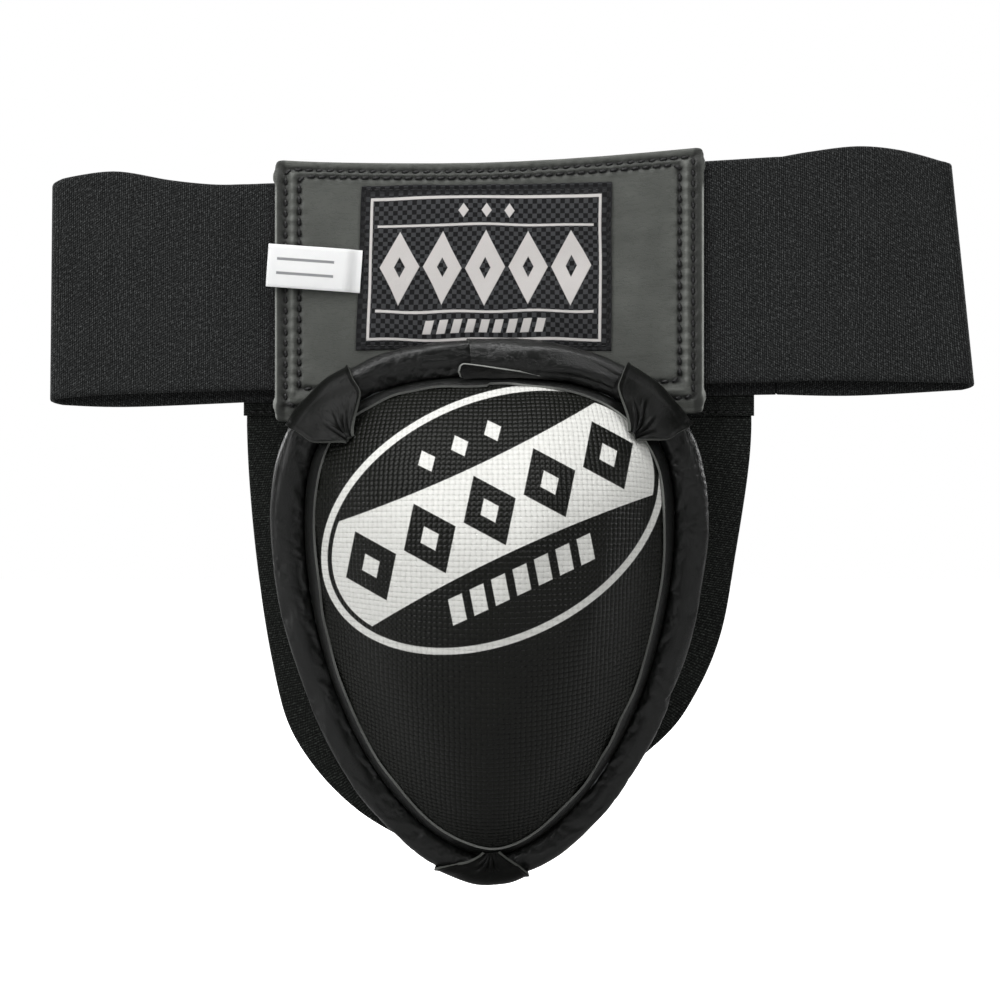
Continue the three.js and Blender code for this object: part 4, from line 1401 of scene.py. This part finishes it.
# Waypoints of each strap's centre line, X and Z in mm, from its hem down to the bottom tab.
STRAP_PATHS = {
    "left": ((-69, -33), (-68, -65), (-65, -98), (-60, -131), (-53, -158), (-39, -184), (-15, -205)),
    "right": ((76, -33), (75.2, -60), (70, -95), (65, -122), (56, -142), (42, -162), (15, -203)),
}


def curve_through(points, count):
    """A smooth line through waypoints, evenly spaced."""
    points = np.array(points, float)
    ghosts = np.vstack([2 * points[0] - points[1], points, 2 * points[-1] - points[-2]])
    fine = []
    for k in range(1, len(ghosts) - 2):
        p0, p1, p2, p3 = ghosts[k - 1:k + 3]
        t = np.linspace(0, 1, 40, endpoint=False)[:, None]
        fine.append(0.5 * (2 * p1 + (p2 - p0) * t + (2 * p0 - 5 * p1 + 4 * p2 - p3) * t ** 2
                           + (3 * p1 - p0 - 3 * p2 + p3) * t ** 3))
    fine = np.vstack(fine + [points[-1:]])
    run = lengths_along(fine)
    at = np.linspace(0, run[-1], count)
    return np.stack([np.interp(at, run, fine[:, k]) for k in range(2)], -1)


def strap_body(line, near, far):
    """Grid of a strap below its hem: back from the near to the far layer, and ruckled where it narrows."""
    tangent = unit(np.gradient(line, axis=0))
    across = np.stack([-tangent[:, 1], tangent[:, 0]], -1)
    across *= np.sign(across[0, 0])
    travelled = lengths_along(line)
    narrowing = smooth(travelled / travelled[-1], 0.62, 0.98)
    half = (STRAP_WIDTH + (STRAP_END_WIDTH - STRAP_WIDTH) * narrowing) / 2
    w = np.linspace(-1, 1, STRAP_COLUMNS)
    x = line[:, 0, None] + across[:, 0, None] * half[:, None] * w
    z = line[:, 1, None] + across[:, 1, None] * half[:, None] * w
    layer_y = near + (far - near) * smooth(travelled, 17 * MM, HEM_LENGTH - 1 * MM)
    rumple = 0.9 * MM * np.sin(w * 9.0)[None, :] * narrowing[:, None]
    y = layer_y[:, None] + rumple + 0.2 * MM * ripples(71, 40 * MM, x, z)
    return np.stack([x, np.maximum(y, near), z], -1)


def strap_hem(middle_x, half, top_z, near, far):
    """Grid of the folded end: up the near layer, and over the fold to the far one."""
    turn = np.linspace(0, math.pi, 9)[1:-1]
    fold_half = (far - near) / 2
    rise = np.linspace(-HEM_LENGTH, 0, 16)
    z = top_z + np.concatenate([rise, fold_half * np.sin(turn)])
    y = np.concatenate([np.full(len(rise), near), near + fold_half * (1 - np.cos(turn))])
    x = middle_x + np.linspace(-1, 1, STRAP_COLUMNS) * half
    return np.stack([np.broadcast_to(values, (len(z), len(x))) for values in (x, y[:, None], z[:, None])], -1)


def add_leg_strap(side):
    low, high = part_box(f"{side}_leg_strap")
    line = curve_through(STRAP_PATHS[side], 150) * MM
    near, far = low.y + STRAP_PLY / 2, low.y + STRAP_PLY * 1.5 + 0.05 * MM
    middle_x, top_z = line[0, 0], high.z - 1.0 * MM
    hem_half = STRAP_WIDTH / 2 + 0.8 * MM
    grid = np.concatenate([strap_hem(middle_x, hem_half, top_z, near, far), strap_body(line, near, far)[1:]])
    strap = sheet(f"{side}_leg_strap_webbing", grid, STRAP_PLY, materials=[looks["strap"]])
    hinge = joint(f"{side}_strap_swing")["pos_m"]
    hinge[2] + 3 * MM
    hinge[2] - 8 * MM
    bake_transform(strap)
    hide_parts(f"{side}_leg_strap")
    row_x = np.linspace(middle_x - hem_half + 1.5 * MM, middle_x + hem_half - 1.5 * MM, 40)
    front, back = near - STRAP_PLY / 2, far + STRAP_PLY / 2
    lower, upper = top_z - HEM_LENGTH + 1.4 * MM, top_z - 4.5 * MM
    rows = []
    for facing, face_y, row_z in ((-1, front, lower), (1, back, lower), (1, back, upper)):
        path = np.array([[x, face_y + facing * 0.15 * MM, row_z] for x in row_x])
        centre, heading = spaced(path, 3.0 * MM)
        rows.append((centre, heading, np.tile([0.0, facing, 0.0], (len(centre), 1))))
    centres, headings, normals = (np.vstack(part) for part in zip(*rows))
    seam = beads(f"{side}_hem_stitches", centres, headings, normals, 2.5 * MM, 0.35 * MM, looks["thread"])
    place_piece(seam, "panel_thread", f"{side}_strap", f"{side}_strap_thread")


# ---- Stage ----

WORLD_FRONT = 0.045           # light from the camera's side of the room, and from behind the object
WORLD_BEHIND = 0.55
FLOOR_BOUNCE = 165            # grey of the floor as the object sees it


# Area lights: name, place from the object's middle, size and power. All point at the middle.
LIGHTS = (
    ("key_left", (-0.85, -0.75, 0.75), (0.9, 1.1), 13.0),
    ("key_right", (0.8, -0.85, 0.65), (0.45, 0.8), 5.0),
    ("top", (0.0, -0.25, 1.2), (1.2, 0.5), 9.5),
    ("low_left", (-0.95, -0.6, -0.2), (0.5, 0.5), 2.0),
    ("back_left", (-0.9, 1.0, 0.6), (0.7, 0.7), 11.0),
    ("back_right", (0.9, 1.0, 0.5), (0.7, 0.7), 9.0),
)
FLOOR_HALF = 6.0
CAMERA_DISTANCE = 1.5
SENSOR = 36.0                 # mm
PICTURE_WIDTH = 1.0906        # of the object's width
AIM_RIGHT = -4.5 * MM         # the camera's place from the object's middle
AIM_UP = 6.2 * MM


def add_lights(centre):
    for name, offset, size, power in LIGHTS:
        data = bpy.data.lights.new(name, "AREA")
        data.shape = "RECTANGLE"
        data.size, data.size_y = size
        data.energy = power
        light = bpy.data.objects.new(name, data)
        bpy.context.scene.collection.objects.link(light)
        light.location = centre + np.array(offset)
        light.rotation_euler = (-Vector(offset)).to_track_quat("-Z", "Y").to_euler()


def add_floor(z):
    """A pale floor that looks white from the camera and lights the object only a little."""
    net = Net("pale_floor")
    mottling = net.noise(net.node("ShaderNodeTexCoord", output=3), 3.0, 3.0)
    pale = net.mix(mottling, srgb(246, 246, 246), srgb(252, 252, 252))
    seen = net.node("ShaderNodeLightPath")
    base = net.mix(seen, srgb(FLOOR_BOUNCE, FLOOR_BOUNCE, FLOOR_BOUNCE), pale)
    material = net.finish(base, 0.9, Emission_Color=(1, 1, 1, 1), Emission_Strength=seen)
    corners = [(-FLOOR_HALF, -FLOOR_HALF, z), (FLOOR_HALF, -FLOOR_HALF, z),
               (FLOOR_HALF, FLOOR_HALF, z), (-FLOOR_HALF, FLOOR_HALF, z)]
    add_mesh("floor", corners, [(0, 1, 2, 3)], [material])


def add_world():
    """White to the camera; to the object, dim in front and brighter behind it."""
    world = bpy.data.worlds.new("studio")
    bpy.context.scene.world = world
    world.use_nodes = True
    nodes, links = world.node_tree.nodes, world.node_tree.links
    background = nodes["Background"]
    background.inputs["Color"].default_value = (1, 1, 1, 1)
    heading = nodes.new("ShaderNodeSeparateXYZ")
    links.new(nodes.new("ShaderNodeTexCoord").outputs["Generated"], heading.inputs[0])
    behind = nodes.new("ShaderNodeMapRange")
    ramp = {"From Min": -0.2, "From Max": 0.9, "To Min": WORLD_FRONT, "To Max": WORLD_BEHIND}
    for key, value in ramp.items():
        behind.inputs[key].default_value = value
    links.new(heading.outputs["Y"], behind.inputs["Value"])
    strength = nodes.new("ShaderNodeMix")
    links.new(nodes.new("ShaderNodeLightPath").outputs["Is Camera Ray"], strength.inputs["Factor"])
    links.new(behind.outputs[0], strength.inputs["A"])
    strength.inputs["B"].default_value = 1.0
    links.new(strength.outputs[0], background.inputs["Strength"])


def add_camera(centre, width):
    data = bpy.data.cameras.new("camera")
    data.sensor_width = SENSOR
    data.lens = SENSOR * CAMERA_DISTANCE / (PICTURE_WIDTH * width)
    camera = bpy.data.objects.new("camera", data)
    bpy.context.scene.collection.objects.link(camera)
    camera.location = (centre[0] + AIM_RIGHT, -CAMERA_DISTANCE, centre[2] + AIM_UP)
    camera.rotation_euler = (math.radians(90), 0, 0)
    bpy.context.scene.camera = camera


def add_stage():
    low, high = (np.array(corner) for corner in cad_box)
    centre = (low + high) / 2
    add_floor(low[2] - 6 * MM)
    add_world()
    add_lights(centre)
    add_camera(centre, high[0] - low[0])
    bpy.context.scene.view_settings.view_transform = "Standard"


def dress_frame():
    """Materials of the CAD nodes that stay: the steel shell inside."""
    shell = frame["nodes"]["steel_cup"]
    shell.data.materials.clear()
    shell.data.materials.append(looks["steel"])


add_waistband()
add_panel()
add_panel_stitches()
add_label()
add_tag()
add_roll()
add_cover()
add_lining()
add_front_binding()
add_back_binding()
add_back_stitches()
add_loops()
add_top_lap()
add_lap_lip()
add_leg_strap("left")
add_leg_strap("right")
dress_frame()
add_stage()
